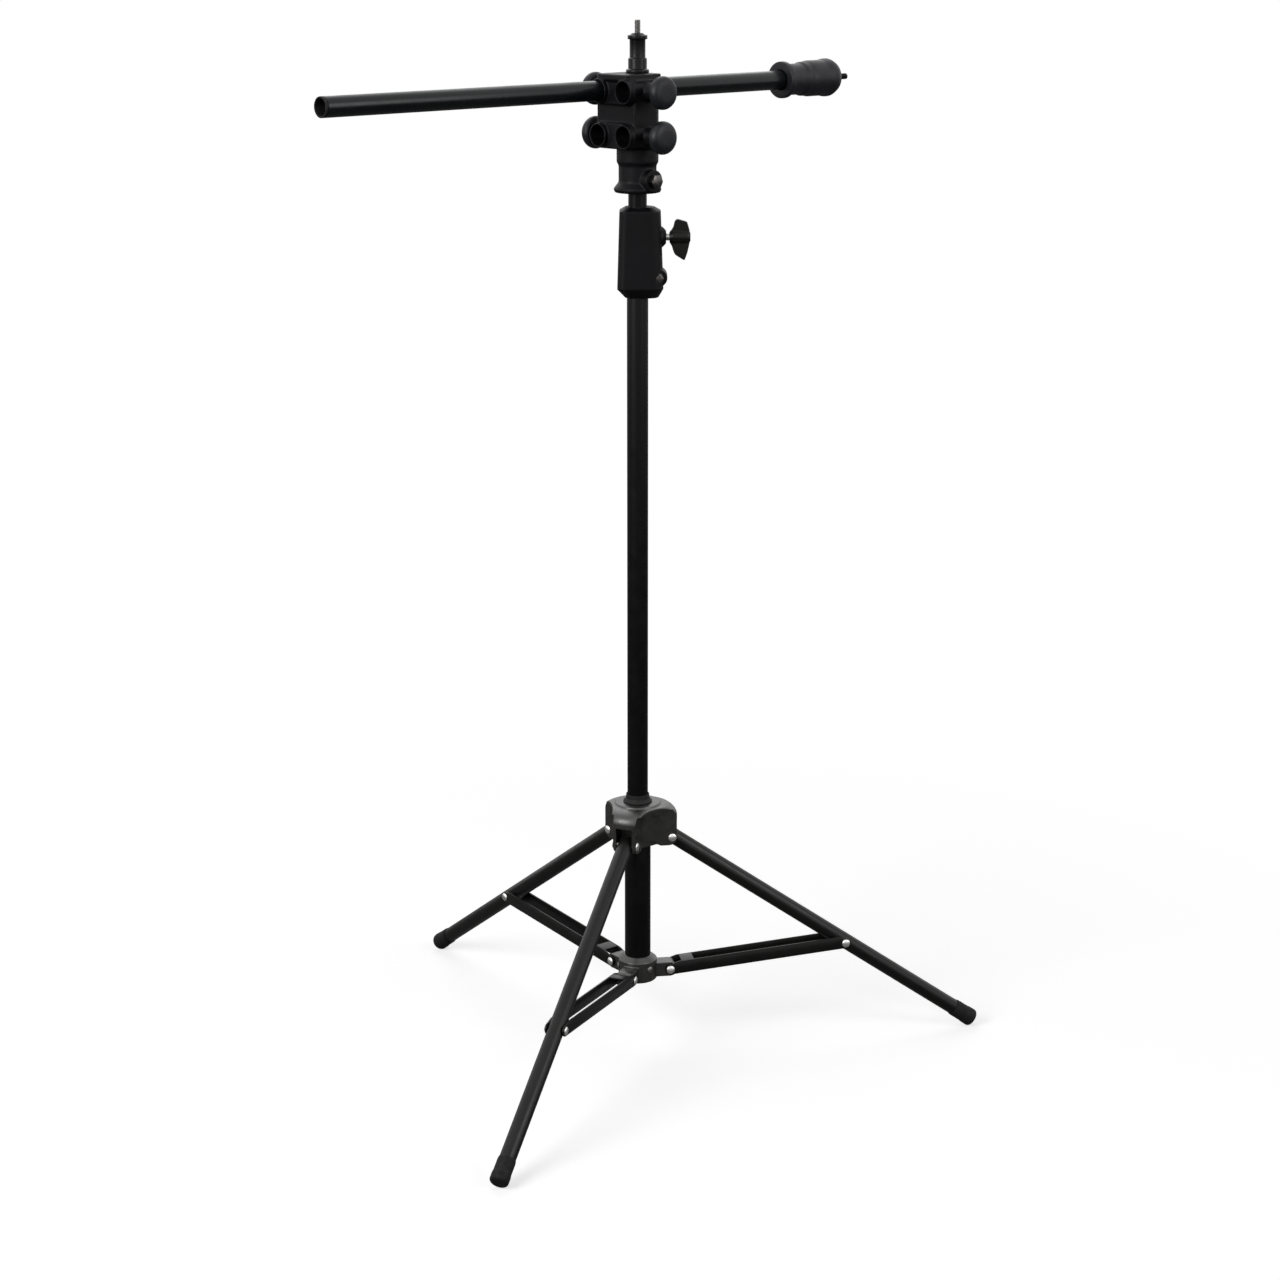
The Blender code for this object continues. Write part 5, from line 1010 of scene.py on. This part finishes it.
# The boom is a 20 mm steel tube in blue-black enamel, glossier than the column's,
# held in the upper left bore. A flanged plug with a dished face closes its near end.
boom_low, boom_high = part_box("boom_tube")
boom_enamel = baked_enamel("baked_enamel_on_boom", "#0c1113", "#13191b", 0.24, 0.34, 0.32)
boom_place = at((AXIS.x, (boom_low.y + boom_high.y) / 2, (boom_low.z + boom_high.z) / 2), (1, 0, 0))
boom_start, boom_end = (boom_low.x - AXIS.x) / MM, (boom_high.x - AXIS.x) / MM
boom = tube("boom_bar", BOOM_RADIUS, TUBE_WALL, boom_start, boom_end, boom_place)
seat(boom, "boom", "tube_paint", boom_enamel, "boom_tube")
CAP_RADIUS, CAP_LENGTH, CAP_FACE = 8.5, 12.0, 3.0
cap = turned("boom_cap", softened([
    (0, boom_start + CAP_LENGTH), (CAP_RADIUS, boom_start + CAP_LENGTH), (CAP_RADIUS, boom_start - SEAM),
    (BOOM_RADIUS, boom_start - SEAM), (BOOM_RADIUS, boom_start - CAP_FACE), (8.3, boom_start - CAP_FACE),
    (7.3, boom_start + 8), (0, boom_start + 8.5),
], 0.7), boom_place)
seat(cap, "boom", "small_plastic", black_polypropylene, "boom_end_plug")


# The end fitting is moulded in grained ABS round the boom's far end: a flange, a waist and
# a rounded body, with a threaded stud for an accessory. A small screw holds it on the tube.
fitting_abs = grained_abs("spark_grained_abs_fitting", "#1b1b21", "#26252d", 0.42, 0.56, 0.34)
fitting_low, fitting_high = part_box("end_fitting")
start, end = (fitting_low.x - AXIS.x) / MM, (fitting_high.x - AXIS.x) / MM
BODY_RADIUS, WAIST_RADIUS, FLANGE_RADIUS, FIXING_REACH = 20.2, 16.4, 19.3, 18.0
END_STUD_DEPTH, END_STUD_LENGTH = 12.0, 22.0
stud_start, stud_end = end - END_STUD_DEPTH + SEAM, end + END_STUD_LENGTH
fitting = turned("boom_end_fitting", softened([
    (stud_bore, end), (11.5, end), (16.9, end - 2.2), (BODY_RADIUS, end - 9), (BODY_RADIUS, start + 66),
    (19.0, start + 60), (19.0, start + 40), (18.0, start + 36), (18.0, start + 30),
    (WAIST_RADIUS, start + 27), (WAIST_RADIUS, start + 9), (FLANGE_RADIUS, start + 6),
    (FLANGE_RADIUS, start), (BORE_RADIUS, start), (BORE_RADIUS, boom_end + SEAM), (0, boom_end + SEAM),
    (0, end - END_STUD_DEPTH), (stud_bore, end - END_STUD_DEPTH),
], 1.4, closed=True, steps=5), boom_place, closed=True)
seat(fitting, "fitting", "head_plastic", fitting_abs, "end_fitting")
fixing_place = at(boom_place @ Vector((0, 0, (start + FIXING_REACH) * MM)), (0, 1, 0), UP)
fixing = threaded("fitting_fixing_screw", BOLT_RADIUS, BOLT_PITCH, BORE_RADIUS, 15.9, fixing_place)
seat(fixing, "fitting", "bright_steel", bright_zinc, "fitting_screw")
end_stud = threaded("fitting_stud", STUD_RADIUS, STUD_PITCH, stud_start, stud_end, boom_place)
seat(end_stud, "fitting", "bright_steel", black_zinc, "end_stud")


# The studio: a plain white floor under large soft lamps, seen at the photograph's angle.
# The camera sees floor and air as white, and gloss mirrors white air over a darker floor.
WHITE = (1, 1, 1, 1)
DIM = 0.1
MIRRORED_AIR, MIRRORED_FLOOR = 1.0, 0.1
BOARD_GREY, BOARD_GLOW, BOARD_ROUGHNESS = 0.8, 0.64, 0.95
BOARD_HALF, BOARD_DROP = 12000, 0.5
FADE_START, FADE_END = 0.5, 1.1
MIDDLE_HEIGHT = 0.6


def how_seen(tree, in_gloss):
    """1 for what the camera sees, the given part for what a surface mirrors, and 0 for other light."""
    path = add_node(tree, "ShaderNodeLightPath").outputs
    mirrored = worked(tree, "MAXIMUM", path["Is Glossy Ray"], path["Is Transmission Ray"])
    part = worked(tree, "MULTIPLY", mirrored, in_gloss)
    return worked(tree, "MAXIMUM", path["Is Camera Ray"], part)


def plain_floor(name):
    """Matte white board. The camera sees it lit to white, and the stand sees a darker board."""
    material, tree, shader = new_material(name)
    seen = how_seen(tree, MIRRORED_FLOOR)
    where = add_node(tree, "ShaderNodeTexCoord").outputs["Object"]
    away = add_node(tree, "ShaderNodeVectorMath", {0: where}, operation="LENGTH").outputs["Value"]
    grey = spread(tree, seen, DIM, BOARD_GREY, 0.0, 1.0)
    board = add_node(tree, "ShaderNodeCombineXYZ", {"X": grey, "Y": grey, "Z": grey}).outputs["Vector"]
    feed(tree, shader, {
        "Base Color": board, "Roughness": BOARD_ROUGHNESS, "Specular IOR Level": 0.0,
        "Emission Color": WHITE, "Emission Strength": worked(tree, "MULTIPLY", seen, BOARD_GLOW),
    })
    # Far from the stand the board runs into the white backdrop without a horizon.
    glow = add_node(tree, "ShaderNodeEmission", {"Color": WHITE, "Strength": seen}).outputs[0]
    fade = spread(tree, away, 0.0, 1.0, FADE_START, FADE_END)
    far = worked(tree, "MULTIPLY", fade, worked(tree, "CEIL", seen))
    surface = add_node(tree, "ShaderNodeMixShader", {0: far, 1: shader.outputs[0], 2: glow}).outputs[0]
    tree.links.new(surface, tree.nodes["Material Output"].inputs["Surface"])
    return material


floor_form = bmesh.new()
bmesh.ops.create_grid(floor_form, x_segments=1, y_segments=1, size=BOARD_HALF)
floor = new_piece("studio_floor", floor_form, Matrix.Translation((0, 0, -BOARD_DROP * MM)))
floor.data.materials.append(plain_floor("matte_white_board"))
floor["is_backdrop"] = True

world = bpy.data.worlds.new("studio_air")
bpy.context.scene.world = world
world.use_nodes = True
air = world.node_tree
air.nodes.clear()
air_glow = spread(air, how_seen(air, MIRRORED_AIR), DIM, 1.0, 0.0, 1.0)
shown = add_node(air, "ShaderNodeBackground", {"Color": WHITE, "Strength": air_glow})
add_node(air, "ShaderNodeOutputWorld", {"Surface": shown.outputs[0]})

CAMERA_YAW = math.radians(-42.5)
CAMERA_TILT = math.radians(14.95)
CAMERA_ASIDE, CAMERA_AWAY, CAMERA_HEIGHT = 0.0025, 2.828, 1.218
LENS, SENSOR, FAR_CLIP = 77.6, 36.0, 50
sideways = Vector((math.cos(CAMERA_YAW), math.sin(CAMERA_YAW), 0))
ahead = Vector(UP).cross(sideways)
middle = Vector((AXIS.x, AXIS.y, MIDDLE_HEIGHT))


def softbox(name, from_side, from_front, height, size, power):
    """A square lamp that faces the middle of the stand."""
    lamp = bpy.data.lights.new(name, "AREA")
    box = in_scene(name, with_settings(lamp, shape="SQUARE", size=size, energy=power))
    box.location = middle + sideways * from_side - ahead * from_front + Vector((0, 0, height))
    box.rotation_euler = (middle - box.location).to_track_quat("-Z", "Y").to_euler()


softbox("key_softbox", -2.0, 1.9, 1.3, 1.6, 42)
softbox("fill_softbox", 2.2, 1.4, 1.2, 1.4, 14)
softbox("back_softbox", -0.3, -1.8, 1.7, 2.2, 14)

optics = bpy.data.cameras.new("photo_camera")
camera = in_scene("photo_camera", with_settings(optics, lens=LENS, sensor_width=SENSOR, clip_end=FAR_CLIP))
camera_spot = AXIS + sideways * CAMERA_ASIDE - ahead * CAMERA_AWAY + Vector((0, 0, CAMERA_HEIGHT))
camera.matrix_world = (
    Matrix.Translation(camera_spot)
    @ Matrix.Rotation(CAMERA_YAW, 4, "Z")
    @ Matrix.Rotation(math.pi / 2 - CAMERA_TILT, 4, "X")
)
bpy.context.scene.camera = camera
bpy.context.scene.view_settings.view_transform = "Standard"

boxes = {"cad": cad_box, "visual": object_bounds()}
{name: [[float(v) for v in corner] for corner in box] for name, box in boxes.items()}
